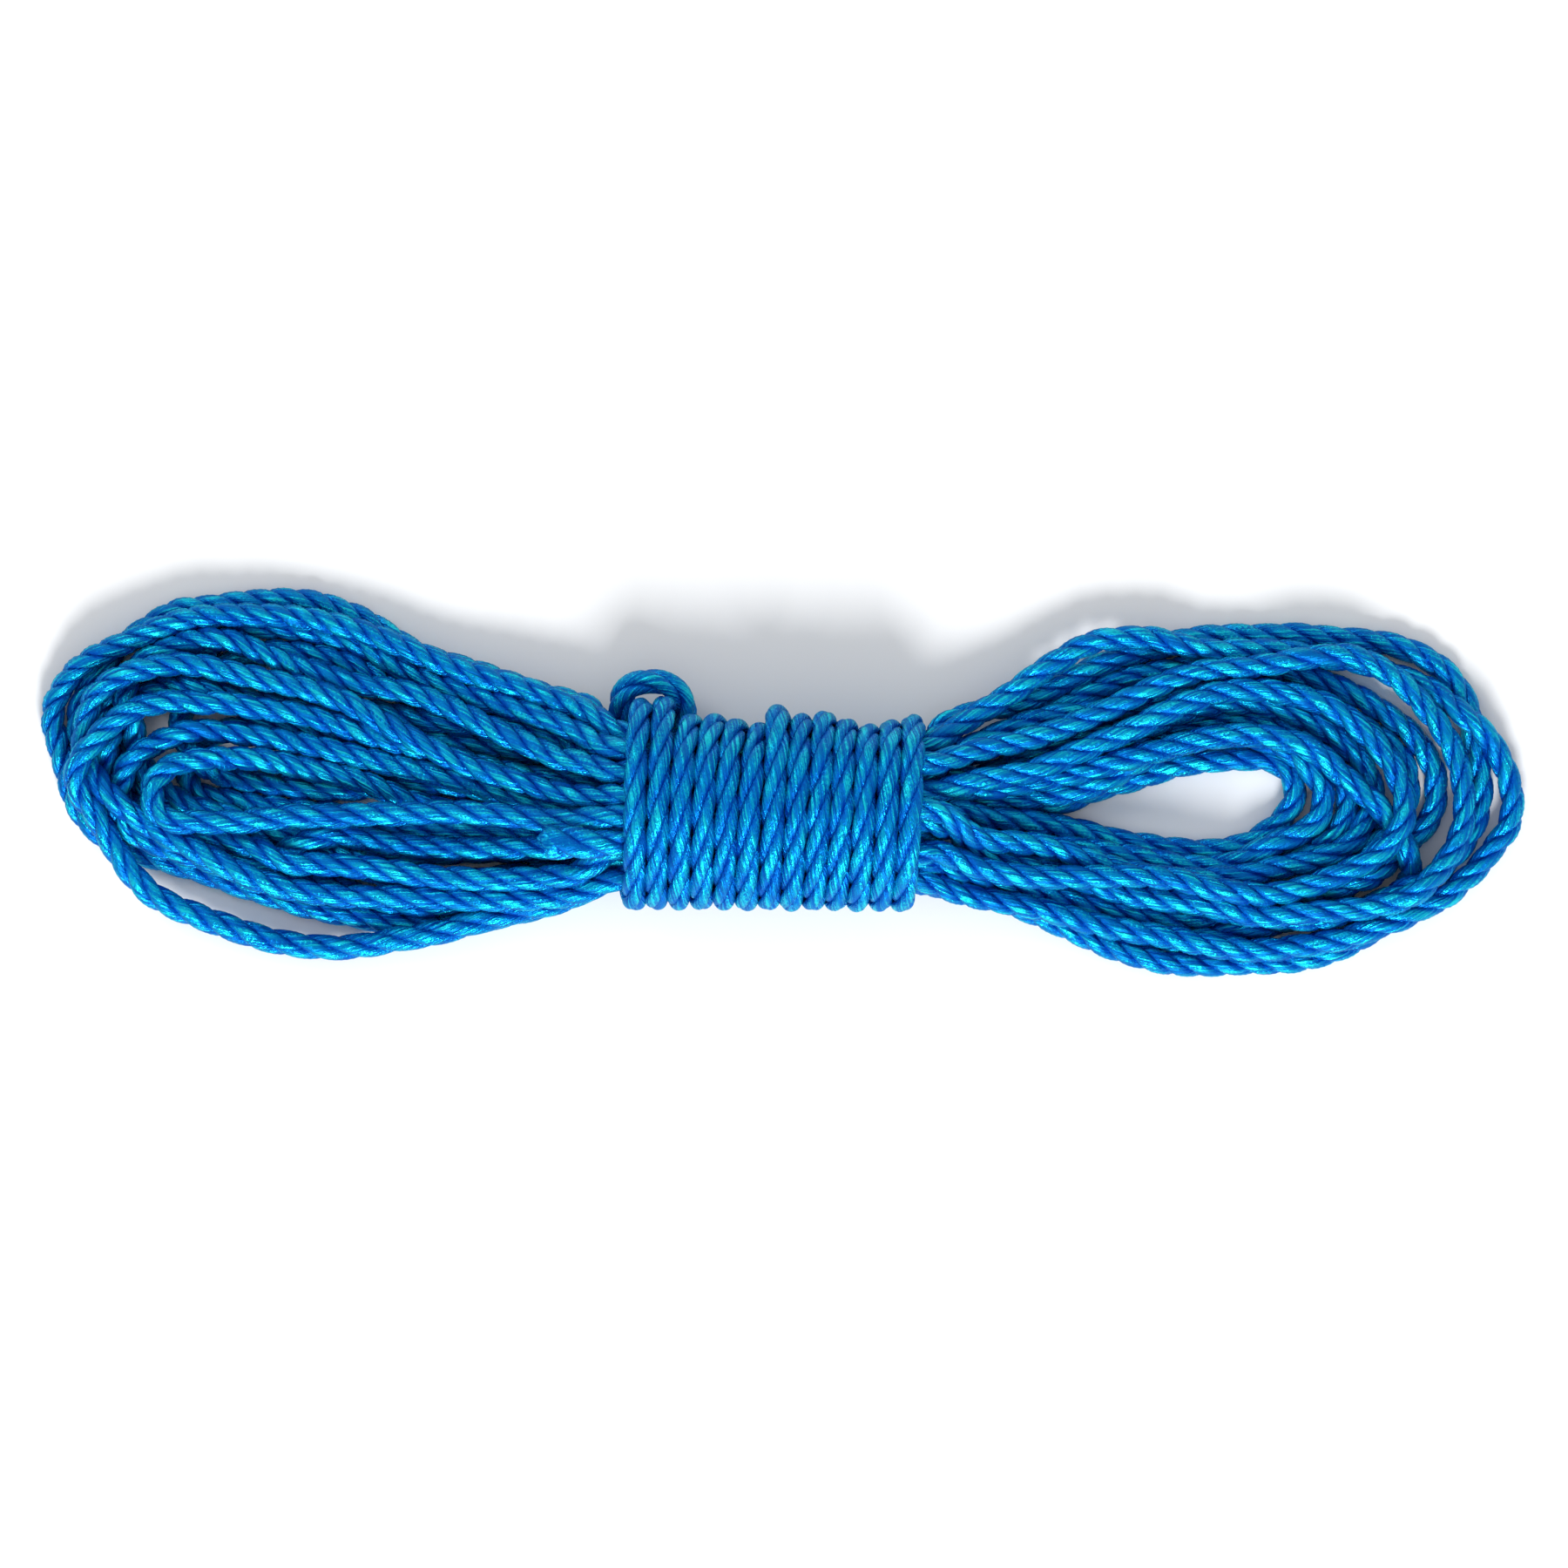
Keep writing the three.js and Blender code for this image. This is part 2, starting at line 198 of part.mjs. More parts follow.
    [-40.93, 14.91, 7.63], [-41.69, 19.92, 10.61], [-39.45, 23.96, 12.44], [-34.83, 25.85, 13.14], [-29.61, 24.68, 12.73], [-25.61, 21.24, 11.34],
    [-25.38, 16.07, 9.94], [-29.1, 8.33, 9.63], [-33.43, 2.91, 7.9], [-36.62, -0.32, 2.62], [-37.6, -6.62, 2.62], [-37.18, -17.44, 2.62],
    [-38.01, -23.8, 4.6], [-38, -26.87, 10.28]
  ],
  binding_turns_01_04: [
    [-38, -27.06, 10.63], [-38, -30.37, 16.74], [-37.99, -28.35, 23.11], [-37.72, -21.08, 30.1], [-37.46, -13.34, 34.3], [-37.41, -3.93, 34.16],
    [-37.03, 7.19, 32.41], [-36.6, 14.54, 27.84], [-36.3, 18.21, 21.22], [-36.16, 18.22, 14.98], [-35.14, 14.48, 9.09], [-32.25, 7.85, 3.42],
    [-30.12, 2.1, 2.62], [-31.77, -7.74, 2.87], [-31.89, -17.58, 3.41], [-32.42, -24.24, 7.24], [-32.48, -28.8, 13.51], [-32.39, -29.72, 20.21],
    [-32.33, -26.79, 25.9], [-31.94, -18.47, 31.83], [-31.67, -9.42, 34.97], [-31.37, 0.65, 34.31], [-30.95, 9.29, 30.83], [-30.61, 16.24, 24.3],
    [-30.36, 19.02, 17.71], [-30.88, 18.46, 10.39], [-30.07, 15.28, 5.26], [-27.14, 9.84, 3.1], [-24.56, 3.01, 2.95], [-26.1, -6.41, 2.94],
    [-26.48, -16.66, 4.15], [-26.87, -24.33, 8.02], [-26.81, -28.54, 13.85], [-26.69, -29.56, 20.55], [-26.63, -26.6, 26.42],
    [-26.33, -19.17, 31.99], [-26.01, -9.56, 35.65], [-25.61, 0.14, 35.13], [-25.08, 7.51, 31.7], [-24.24, 13.55, 25.59], [-23.42, 15.16, 19.43],
    [-22.1, 12.85, 13.01], [-21.61, 7.33, 8.55], [-20.18, -0.59, 5.46], [-20.82, -9.05, 2.98], [-21.11, -17.61, 4.62], [-21.27, -25.02, 8.87],
    [-21.17, -28.93, 14.85], [-20.97, -29.5, 21.52], [-20.83, -26.13, 27.38], [-20.56, -18.59, 32.78], [-20.25, -9.03, 36.01], [-19.86, 0.67, 35.25],
    [-19.27, 7.82, 31.44], [-18.4, 13.21, 24.78], [-17.51, 14.38, 18.37], [-16.49, 11.92, 11.91], [-15.83, 5.85, 5.91], [-15.1, -1.31, 2.81],
    [-15.34, -12.2, 3.26], [-15.51, -21.19, 6.25], [-15.51, -27.32, 11.54], [-15.33, -28.3, 18.26]
  ],
  binding_turns_05_06: [
    [-15.32, -28.36, 18.65], [-15.15, -29.27, 24.83], [-14.96, -22.56, 30.62], [-14.63, -13.28, 35.15], [-14.3, -4.2, 35.99], [-13.85, 4.73, 33.42],
    [-13.05, 10.78, 27.54], [-12.22, 13.57, 21.16], [-11.2, 12.43, 14.35], [-10.74, 7.47, 8.52], [-9.99, -1.2, 4.46], [-9.77, -10.95, 3.07],
    [-9.96, -20.33, 5.71], [-9.91, -26.63, 10.94], [-9.71, -29.53, 17.6], [-9.49, -28.97, 24.05], [-9.33, -24.18, 29.8], [-9.07, -15.57, 34.45],
    [-8.71, -5.99, 36.03], [-7.94, 3.37, 34.36], [-7.17, 9.27, 29.08], [-6.1, 13.35, 22.12], [-5.5, 12.06, 14.25], [-5.13, 7.39, 8.25],
    [-4.7, -0.02, 4.09], [-4.37, -9.15, 3.02], [-4.39, -19.15, 5.2], [-4.35, -26.84, 9.76], [-4.12, -28.11, 16.85]
  ],
  binding_turns_07_10: [
    [-4.11, -28.18, 17.25], [-3.9, -29.3, 23.5], [-3.6, -24.87, 28.86], [-3.11, -16.21, 33.68], [-2.61, -6.41, 35.92], [-2.01, 4.05, 33.73],
    [-1.72, 12.13, 29.28], [-1.69, 16.25, 23.81], [-1.54, 16.59, 17.53], [-0.42, 13.47, 11.47], [0.29, 6.57, 6.2], [0.87, -2.82, 3.04],
    [1.23, -13.47, 3.48], [1.33, -21.87, 6.68], [1.44, -27.51, 12.54], [1.66, -29.78, 19.06], [1.92, -28.48, 25.08], [2.3, -22.92, 30.3],
    [2.83, -12.86, 34.84], [3.3, -3.64, 35.55], [3.81, 5.41, 32.84], [4.11, 11.69, 26.95], [4.5, 14.46, 20.85], [4.95, 13.33, 14.87],
    [5.56, 8.2, 8.81], [6.22, -0.39, 4.47], [6.66, -10.01, 3.03], [6.86, -19.35, 5.17], [7.01, -25.76, 10.1], [7.25, -29.46, 16.64],
    [7.52, -29.34, 23.06], [7.87, -25.31, 28.78], [8.29, -17.73, 32.94], [8.84, -7.01, 35.43], [9.43, 3.15, 33.86], [9.73, 9.91, 29.33],
    [10.09, 14.55, 23.04], [10.44, 15.09, 16.87], [10.82, 11.62, 10.86], [11.4, 4.59, 5.67], [11.84, -4.73, 3.02], [12.31, -14.96, 3.61],
    [12.5, -22.76, 7.3], [12.76, -28.05, 13.44], [13.06, -29.95, 20.02], [13.36, -28.02, 26.1], [13.73, -22.03, 31.22], [14.26, -11.85, 35.19],
    [14.71, -2.75, 35.28], [15.14, 6.01, 32.35], [15.49, 11.28, 26.61], [15.82, 13.32, 20.19], [16.09, 11.58, 13.8], [16.72, 6.18, 7.7],
    [17.11, -1.77, 3.91], [17.65, -11.51, 3.04], [17.96, -20.4, 5.52], [18.22, -26.78, 10.74], [18.53, -28.37, 17.92]
  ],
  binding_turns_11_13: [
    [18.55, -28.45, 18.31], [18.8, -29.77, 24.26], [19.24, -24.14, 30.11], [19.75, -15.68, 34.63], [20.28, -6.06, 36], [20.72, 3.6, 33.96],
    [21.04, 9.1, 29.55], [21.42, 11.95, 22.54], [21.67, 11.52, 15.1], [22.22, 6.63, 8.5], [22.62, -0.39, 4.33], [23.11, -10.19, 3.01],
    [23.56, -19.26, 4.81], [23.76, -25.75, 9.78], [24.14, -29.52, 16.57], [24.5, -29.48, 23.22], [24.91, -25.34, 29.29], [25.39, -17.73, 34.15],
    [25.93, -8.09, 36.15], [26.41, 1.69, 34.61], [26.76, 8.4, 30.76], [27.08, 12.24, 23.66], [27.07, 13.01, 16.01], [27.17, 10.33, 9.64],
    [27.72, 3.64, 4.46], [28.19, -4.71, 2.85], [28.86, -16.77, 3.15], [28.9, -24.13, 6.21], [29.13, -29.16, 12.34], [29.89, -30.33, 19.71],
    [30.41, -27.77, 26.17], [30.91, -21.42, 32.03], [31.42, -12.67, 35.44], [31.94, -3.14, 35.47], [32.43, 5.93, 32.31], [32.7, 11.33, 26.47],
    [32.75, 14.43, 18.67], [32.05, 13.92, 11.42], [33, 9.39, 5.96], [32.9, 2.81, 2.62], [34.65, -6.92, 3.29]
  ],
  tucked_end: [
    [34.72, -7.32, 3.32], [35.98, -14.28, 3.8], [37.86, -15.84, 8.37], [38.08, -14.16, 14.43], [34.95, -13.97, 19.76], [28.79, -13.93, 22.93],
    [16.18, -14.17, 24.32], [1.55, -13.99, 26.78], [-12.16, -14.06, 27.96], [-27.02, -14.07, 27.63], [-39.57, -14.56, 27.53], [-50.75, -15.1, 28.01]
  ],
  fused_tip_tail: [
    [-51.15, -15.11, 28.02], [-55.5, -15.32, 28.21], [-59.84, -15.14, 27.57]
  ]
};

// A line that keeps the route's own corners, so that each stretch runs exactly where it was laid.
class Route extends THREE.Curve {
  constructor(points, comesFrom, goesTo) {
    super();
    const place = (p) => p && new THREE.Vector3(p[0] - ORIGIN[0], p[1] - ORIGIN[1], p[2] - ORIGIN[2]);
    this.points = points.map(place);
    this.comesFrom = place(comesFrom); // the end of the stretch before, so that the two end faces are parallel
    this.goesTo = place(goesTo);
  }
  getPoint(t, target = new THREE.Vector3()) {
    const n = this.points.length - 1;
    const at = Math.min(Math.max(t, 0), 1) * n;
    const i = Math.min(Math.floor(at + 1e-9), n - 1);
    return target.copy(this.points[i]).lerp(this.points[i + 1], at - i);
  }
  getPointAt(u, target) {
    return this.getPoint(u, target);
  }
  getTangent(t, target = new THREE.Vector3()) {
    const n = this.points.length - 1;
    const i = Math.round(Math.min(Math.max(t, 0), 1) * n);
    const here = this.points[i];
    if (i === 0 && this.comesFrom) return target.copy(here).sub(this.comesFrom).normalize();
    if (i === n && this.goesTo) return target.copy(this.goesTo).sub(here).normalize();
    const before = this.points[Math.max(i - 1, 0)];
    const after = this.points[Math.min(i + 1, n)];
    const a = here.clone().sub(before);
    const b = after.clone().sub(here);
    if (a.lengthSq() > 0) a.normalize();
    if (b.lengthSq() > 0) b.normalize();
    return target.copy(a.add(b)).normalize();
  }
  getTangentAt(u, target) {
    return this.getTangent(u, target);
  }
}

function section(width, thickness, sides) {
  const shape = new THREE.Shape();
  for (let k = 0; k < sides; k++) {
    const a = (2 * Math.PI * (k + 0.5)) / sides;
    const x = (width / 2) * Math.cos(a);
    const y = (thickness / 2) * Math.sin(a);
    if (k === 0) shape.moveTo(x, y);
    else shape.lineTo(x, y);
  }
  shape.closePath();
  return shape;
}

function stretch(name, width, thickness, sides, colour, roughness) {
  const order = Object.keys(ROUTE);
  const at = order.indexOf(name);
  const before = ROUTE[order[at - 1]];
  const after = ROUTE[order[at + 1]];
  const route = new Route(ROUTE[name], before && before[before.length - 1], after && after[0]);
  const geometry = new THREE.ExtrudeGeometry(section(width, thickness, sides), {
    steps: route.points.length - 1,
    extrudePath: route,
    curveSegments: 1,
    bevelEnabled: false,
  });
  const mesh = new THREE.Mesh(
    geometry,
    new THREE.MeshStandardMaterial({ name, color: colour, roughness, metalness: 0 }),
  );
  mesh.name = name;
  return mesh;
}

const hank = new THREE.Group();
hank.name = 'rope_hank';
for (const name of Object.keys(ROUTE)) {
  if (name.startsWith('fused_tip')) hank.add(stretch(name, TIP_THICKNESS, TIP_WIDTH, TIP_SIDES, TIP_BLUE, 0.35));
  else hank.add(stretch(name, SOLID_DIAMETER, SOLID_DIAMETER, SIDES, ROPE_BLUE, 0.4));
}

export default hank;
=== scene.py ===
"""A hank of bright blue three-strand laid rope, lying on a pale floor.

The rope is one length of 6 mm rope: eleven long turns through a waist, then thirteen close turns of its own working
end round the waist, with the tail turned back underneath and cut off at the left. It is modelled as the real thing
is made: three strands laid together right-handed along the whole route, each strand's fibres twisted the other way.
"""
import math

import bpy
import numpy as np
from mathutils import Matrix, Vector, noise


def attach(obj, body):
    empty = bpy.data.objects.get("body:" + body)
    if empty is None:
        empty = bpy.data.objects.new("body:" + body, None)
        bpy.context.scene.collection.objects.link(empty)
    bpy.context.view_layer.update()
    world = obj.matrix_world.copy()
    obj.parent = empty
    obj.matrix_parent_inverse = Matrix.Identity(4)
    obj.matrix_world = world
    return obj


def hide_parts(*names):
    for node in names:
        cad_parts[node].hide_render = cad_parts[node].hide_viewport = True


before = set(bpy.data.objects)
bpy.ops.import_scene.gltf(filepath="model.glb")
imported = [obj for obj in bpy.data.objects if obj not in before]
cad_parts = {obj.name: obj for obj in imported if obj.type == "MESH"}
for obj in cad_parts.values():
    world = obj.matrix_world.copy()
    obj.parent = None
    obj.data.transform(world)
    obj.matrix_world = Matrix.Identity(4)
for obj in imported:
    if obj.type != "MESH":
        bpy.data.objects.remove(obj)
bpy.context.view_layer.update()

MM = 0.001

# ---------------------------------------------------------------------------------------------- the rope's own sizes
STRAND_CENTRE = 1.58  # mm, from the rope's middle to a strand's middle
STRAND_DEEP = 1.50  # mm, half a strand's depth, towards and away from the rope's middle
STRAND_WIDE = 1.84  # mm, half a strand's width round the rope
FIBRE_TWIST = 262 / 3280  # turns a mm, of the fibres back round their strand, against the lay
STEP = 1.5  # mm, between rings of the mesh
ORIGIN = np.array([-0.39, -0.26, 0.12])  # mm, as in the CAD model

# The middle of the rope, every 3 mm along it, in hundredths of a millimetre before the shift by ORIGIN.
ROUTE = """
-271 -1353 2159 -571 -1357 2164 -871 -1362 2162 -1170 -1356 2136 -1468 -1339 2110 -1765 -1323 2069 -2064 -1316 2047
-2364 -1309 2036 -2663 -1308 2022 -2962 -1329 2009 -3262 -1338 1998 -3552 -1294 1943 -3828 -1193 1881
-4098 -1105 1788 -4359 -1098 1643 -4621 -1183 1526 -4848 -1339 1410 -5077 -1485 1283 -5333 -1587 1167
-5618 -1601 1079 -5906 -1554 1009 -6192 -1492 943 -6478 -1431 879 -6767 -1377 818 -7058 -1332 760 -7352 -1304 709
-7649 -1298 666 -7945 -1295 617 -8240 -1287 566 -8536 -1280 516 -8832 -1274 470 -9129 -1261 430 -9425 -1229 393
-9719 -1179 361 -10012 -1118 335 -10304 -1054 314 -10597 -992 301 -10891 -932 300 -11186 -878 300 -11482 -830 300
-11779 -788 300 -12077 -752 300 -12375 -718 300 -12673 -688 300 -12971 -652 300 -13268 -612 300 -13566 -572 300
-13861 -521 300 -14155 -463 300 -14452 -419 300 -14748 -372 300 -15028 -270 300 -15236 -58 300 -15327 225 300
-15279 519 300 -15103 758 300 -14881 960 300 -14684 1183 300 -14414 1311 300 -14125 1393 300 -13832 1454 300
-13534 1492 300 -13235 1494 300 -12937 1460 300 -12639 1426 300 -12340 1395 300 -12043 1358 300 -11748 1301 300
-11457 1229 300 -11167 1154 300 -10874 1090 300 -10577 1047 300 -10277 1031 300 -9978 1040 300 -9678 1061 300
-9379 1072 300 -9079 1067 300 -8779 1063 300 -8479 1058 300 -8180 1032 300 -7883 992 300 -7587 944 300 -7292 890 300
-6997 835 300 -6702 780 300 -6407 725 300 -6113 667 300 -5820 602 310 -5531 525 335 -5249 431 371 -4979 309 419
-4733 149 478 -4494 -14 558 -4258 -146 685 -4007 -272 791 -3722 -352 826 -3425 -337 812 -3135 -266 829 -2848 -227 903
-2559 -243 981 -2271 -279 1055 -1975 -289 1076 -1678 -274 1038 -1379 -267 1010 -1079 -266 1002 -779 -264 998
-480 -258 986 -181 -245 981 119 -231 989 419 -231 991 718 -236 991 1017 -236 976 1317 -247 967 1616 -264 947
1914 -293 941 2214 -303 935 2509 -258 922 2790 -162 887 3064 -60 829 3357 2 830 3644 47 763 3903 84 618 4181 71 508
4471 25 452 4762 70 396 5047 150 349 5328 250 318 5603 368 301 5875 495 300 6147 622 300 6420 746 300 6693 870 300
6968 989 300 7249 1094 300 7537 1178 300 7830 1240 300 8128 1280 300 8426 1307 300 8726 1327 300 9026 1335 300
9325 1345 300 9625 1364 300 9922 1401 300 10218 1452 300 10513 1504 300 10810 1548 300 11108 1586 300 11406 1616 300
11706 1624 300 12005 1604 300 12298 1542 300 12585 1454 300 12868 1355 300 13134 1217 300 13385 1052 300
13624 872 300 13857 683 300 14071 473 300 14247 231 300 14373 -41 300 14455 -329 300 14444 -627 300 14374 -918 300
14254 -1192 300 14058 -1418 300 13815 -1594 300 13555 -1742 300 13286 -1875 300 13010 -1994 300 12729 -2097 300
12443 -2190 300 12159 -2284 300 11872 -2371 300 11584 -2456 300 11294 -2534 300 10997 -2571 300 10697 -2573 300
10398 -2556 300 10099 -2526 300 9801 -2501 300 9503 -2464 300 9210 -2402 300 8919 -2329 300 8628 -2255 300
8336 -2186 300 8043 -2122 300 7748 -2065 300 7453 -2011 300 7157 -1962 300 6860 -1920 300 6564 -1876 300
6268 -1825 300 5974 -1768 300 5680 -1706 300 5388 -1636 300 5097 -1565 306 4811 -1479 330 4554 -1326 350
4335 -1151 450 4138 -1031 639 3902 -986 816 3625 -1019 918 3343 -1116 945 3070 -1238 930 2795 -1357 910
2505 -1419 910 2205 -1420 921 1905 -1419 927 1606 -1413 938 1306 -1414 940 1006 -1416 947 706 -1416 950 406 -1417 949
106 -1412 950 -194 -1403 957 -493 -1396 965 -793 -1389 965 -1093 -1381 968 -1393 -1375 961 -1692 -1370 959
-1992 -1364 945 -2291 -1352 937 -2590 -1359 922 -2889 -1379 910 -3183 -1404 859 -3478 -1417 827 -3777 -1406 835
-4061 -1392 748 -4311 -1404 583 -4562 -1467 436 -4844 -1549 377 -5131 -1628 345 -5418 -1708 313 -5710 -1775 299
-6008 -1806 300 -6308 -1801 300 -6608 -1787 300 -6908 -1775 300 -7207 -1768 300 -7507 -1768 300 -7807 -1773 300
-8107 -1784 300 -8407 -1801 300 -8706 -1814 300 -9006 -1831 300 -9304 -1857 300 -9603 -1890 300 -9901 -1923 300
-10200 -1946 300 -10500 -1955 300 -10795 -2002 300 -11083 -2088 300 -11377 -2139 300 -11676 -2116 300
-11970 -2057 300 -12260 -1982 300 -12547 -1894 300 -12834 -1806 300 -13121 -1718 300 -13408 -1631 300
-13693 -1537 300 -13975 -1437 300 -14257 -1334 300 -14540 -1234 300 -14821 -1130 300 -15097 -1012 300 -15376 -901 300
-15652 -785 300 -15915 -642 300 -16153 -459 300 -16353 -236 300 -16549 -9 300 -16745 218 300 -16923 459 300
-17074 718 300 -17268 945 300 -17455 1177 300 -17544 1462 300 -17525 1759 300 -17419 2039 300 -17267 2297 300
-17095 2543 300 -16878 2748 300 -16604 2867 300 -16311 2926 300 -16013 2964 300 -15714 2982 300 -15418 3033 300
-15145 3155 300 -14889 3311 300 -14661 3506 300 -14463 3730 300 -14202 3875 300 -13909 3935 300 -13610 3964 300
-13311 3979 300 -13011 3971 300 -12712 3944 300 -12414 3910 300 -12117 3872 300 -11822 3815 300 -11531 3744 300
-11242 3665 307 -10958 3568 325 -10689 3440 357 -10431 3294 400 -10179 3135 433 -9921 2984 465 -9657 2849 504
-9387 2725 550 -9113 2615 601 -8836 2512 655 -8559 2413 710 -8281 2316 768 -8003 2221 831 -7725 2132 898
-7446 2049 971 -7169 1966 1050 -6894 1883 1136 -6620 1795 1222 -6348 1702 1308 -6079 1606 1398 -5811 1508 1492
-5547 1401 1587 -5288 1288 1685 -5042 1159 1797 -4808 1024 1928 -4571 918 2078 -4333 868 2252 -4078 872 2408
-3794 852 2500 -3499 806 2532 -3205 748 2526 -2918 663 2515 -2646 545 2470 -2363 452 2438 -2067 413 2410
-1777 341 2385 -1485 277 2361 -1188 238 2345 -891 197 2354 -593 174 2342 -295 184 2311 4 190 2279 303 184 2261
603 175 2254 902 159 2247 1201 141 2245 1500 118 2248 1798 83 2259 2097 69 2269 2397 80 2268 2696 96 2264
2991 139 2238 3275 202 2166 3540 279 2049 3795 358 1913 4034 461 1763 4257 598 1617 4478 761 1498 4719 900 1387
4976 1018 1287 5240 1129 1197 5505 1243 1116 5773 1357 1043 6049 1459 984 6332 1543 935 6616 1625 886 6906 1696 853
7200 1742 817 7490 1765 748 7772 1792 648 8055 1830 556 8344 1860 483 8637 1882 423 8933 1895 374 9227 1918 323
9524 1956 299 9817 2017 300 10102 2111 300 10381 2222 300 10666 2315 300 10958 2383 300 11254 2432 300 11552 2463 300
11852 2467 300 12151 2446 300 12447 2399 300 12739 2330 300 13030 2257 300 13320 2179 300 13604 2085 300
13882 1972 300 14147 1831 300 14407 1682 300 14669 1535 300 14930 1388 300 15189 1237 300 15426 1053 300
15643 847 300 15828 611 300 15954 340 300 16010 46 300 16019 -254 300 15977 -551 300 15868 -829 300 15690 -1069 300
15444 -1241 300 15234 -1454 300 15060 -1698 300 14913 -1960 300 14738 -2203 300 14571 -2453 300 14411 -2706 300
14209 -2927 300 13962 -3096 300 13693 -3228 300 13417 -3346 300 13141 -3463 300 12864 -3577 300 12573 -3650 300
12277 -3701 300 11984 -3764 300 11693 -3837 300 11401 -3905 300 11107 -3962 300 10810 -4008 300 10513 -4048 300
10214 -4077 300 9915 -4085 300 9616 -4063 300 9320 -4014 300 9029 -3942 300 8740 -3861 300 8453 -3774 300
8170 -3675 300 7891 -3563 300 7616 -3445 300 7340 -3327 300 7060 -3218 300 6779 -3114 300 6494 -3020 300
6207 -2933 300 5918 -2853 300 5629 -2773 300 5343 -2682 307 5062 -2581 335 4784 -2476 375 4510 -2367 432
4241 -2252 492 3961 -2214 592 3684 -2140 679 3427 -2031 787 3180 -1940 933 2915 -1900 1065 2624 -1919 1133
2326 -1935 1162 2026 -1936 1166 1727 -1935 1169 1427 -1933 1169 1127 -1934 1176 827 -1935 1171 527 -1933 1174
227 -1931 1168 -73 -1928 1167 -373 -1922 1163 -673 -1918 1163 -973 -1912 1159 -1273 -1908 1154 -1572 -1898 1148
-1872 -1889 1144 -2172 -1878 1136 -2472 -1875 1130 -2771 -1880 1127 -3070 -1893 1102 -3358 -1921 1027 -3642 -1944 935
-3931 -1956 854 -4200 -2025 749 -4426 -2161 607 -4641 -2333 489 -4867 -2518 423 -5117 -2678 381 -5381 -2816 349
-5644 -2959 321 -5915 -3085 303 -6198 -3185 300 -6488 -3262 300 -6779 -3333 300 -7072 -3400 300 -7364 -3466 300
-7657 -3531 300 -7950 -3593 300 -8246 -3644 300 -8544 -3677 300 -8844 -3686 300 -9144 -3679 300 -9444 -3675 300
-9743 -3663 300 -10042 -3631 300 -10337 -3580 300 -10631 -3518 300 -10924 -3456 300 -11219 -3402 300 -11515 -3350 300
-11809 -3290 300 -12101 -3224 300 -12392 -3150 300 -12678 -3061 300 -12962 -2964 300 -13249 -2876 300
-13535 -2787 300 -13822 -2697 300 -14106 -2603 300 -14388 -2501 300 -14670 -2398 300 -14954 -2302 300
-15240 -2209 300 -15526 -2122 300 -15814 -2038 300 -16103 -1957 300 -16391 -1873 300 -16676 -1777 300
-16955 -1668 300 -17226 -1540 300 -17477 -1376 300 -17702 -1178 300 -17905 -958 300 -18078 -713 300 -18205 -441 300
-18298 -156 300 -18376 133 300 -18453 423 300 -18538 711 300 -18631 996 301 -18711 1285 313 -18753 1580 337
-18729 1877 370 -18655 2163 413 -18498 2412 470 -18330 2648 548 -18133 2855 638 -17908 3033 725 -17660 3186 795
-17398 3325 835 -17125 3449 852 -16849 3566 853 -16574 3686 844 -16301 3809 831 -16026 3927 813 -15747 4038 797
-15463 4133 798 -15170 4195 809 -14872 4230 813 -14573 4252 808 -14274 4268 789 -13975 4276 769 -13675 4275 780
-13376 4269 795 -13076 4262 796 -12776 4249 788 -12478 4225 780 -12180 4184 779 -11886 4128 782 -11594 4060 781
-11301 3995 790 -11010 3924 801 -10722 3839 810 -10442 3735 829 -10161 3630 850 -9881 3525 863 -9602 3413 867
-9328 3293 868 -9052 3174 877 -8773 3065 893 -8492 2963 914 -8210 2865 939 -7925 2774 969 -7640 2687 1001
-7354 2605 1037 -7067 2525 1075 -6782 2441 1115 -6500 2350 1159 -6220 2252 1207 -5944 2149 1261 -5668 2049 1321
-5391 1953 1388 -5124 1841 1463 -4876 1700 1556 -4645 1548 1672 -4411 1398 1785 -4156 1272 1877 -3881 1188 1962
-3586 1149 1996 -3289 1127 2030 -2997 1067 2061 -2717 962 2073 -2423 906 2086 -2124 901 2107 -1827 856 2119
-1532 806 2134 -1236 764 2151 -938 729 2147 -642 681 2140 -346 724 2160 -48 749 2171 252 755 2177 552 756 2181
852 752 2185 1152 743 2188 1452 731 2189 1751 710 2192 2043 643 2194 2342 637 2174 2639 634 2137 2932 671 2085
3212 761 2025 3488 842 1943 3752 949 1850 3979 1084 1708 4195 1248 1581 4430 1406 1484 4672 1565 1404 4915 1725 1332
5167 1875 1273 5421 2024 1212 5669 2182 1154 5915 2347 1104 6154 2522 1058 6390 2702 1015 6632 2874 976 6882 3037 941
7137 3192 908 7394 3343 879 7657 3485 854 7936 3591 833 8230 3648 816 8528 3678 804 8828 3695 798 9127 3704 798
9426 3686 813 9717 3621 845 10004 3537 857 10293 3463 823 10583 3403 777 10879 3368 754 11179 3364 750 11479 3374 742
11778 3382 729 12078 3385 713 12377 3379 693 12675 3364 666 12971 3334 623 13264 3292 576 13556 3240 531
13849 3191 492 14146 3159 461 14442 3127 430 14735 3066 404 15026 2996 387 15311 2903 379 15591 2795 379
15874 2696 396 16151 2590 434 16420 2465 479 16675 2316 530 16910 2141 596 17117 1950 697 17330 1765 800
17559 1580 852 17783 1381 842 17986 1174 768 18155 943 680 18302 693 604 18437 430 550 18542 152 512 18626 -134 483
18666 -430 462 18657 -730 448 18609 -1025 440 18485 -1296 438 18302 -1533 441 18117 -1769 448 17936 -2008 461
17737 -2232 477 17516 -2433 498 17289 -2627 527 17073 -2832 563 16836 -3008 597 16561 -3120 635 16299 -3254 695
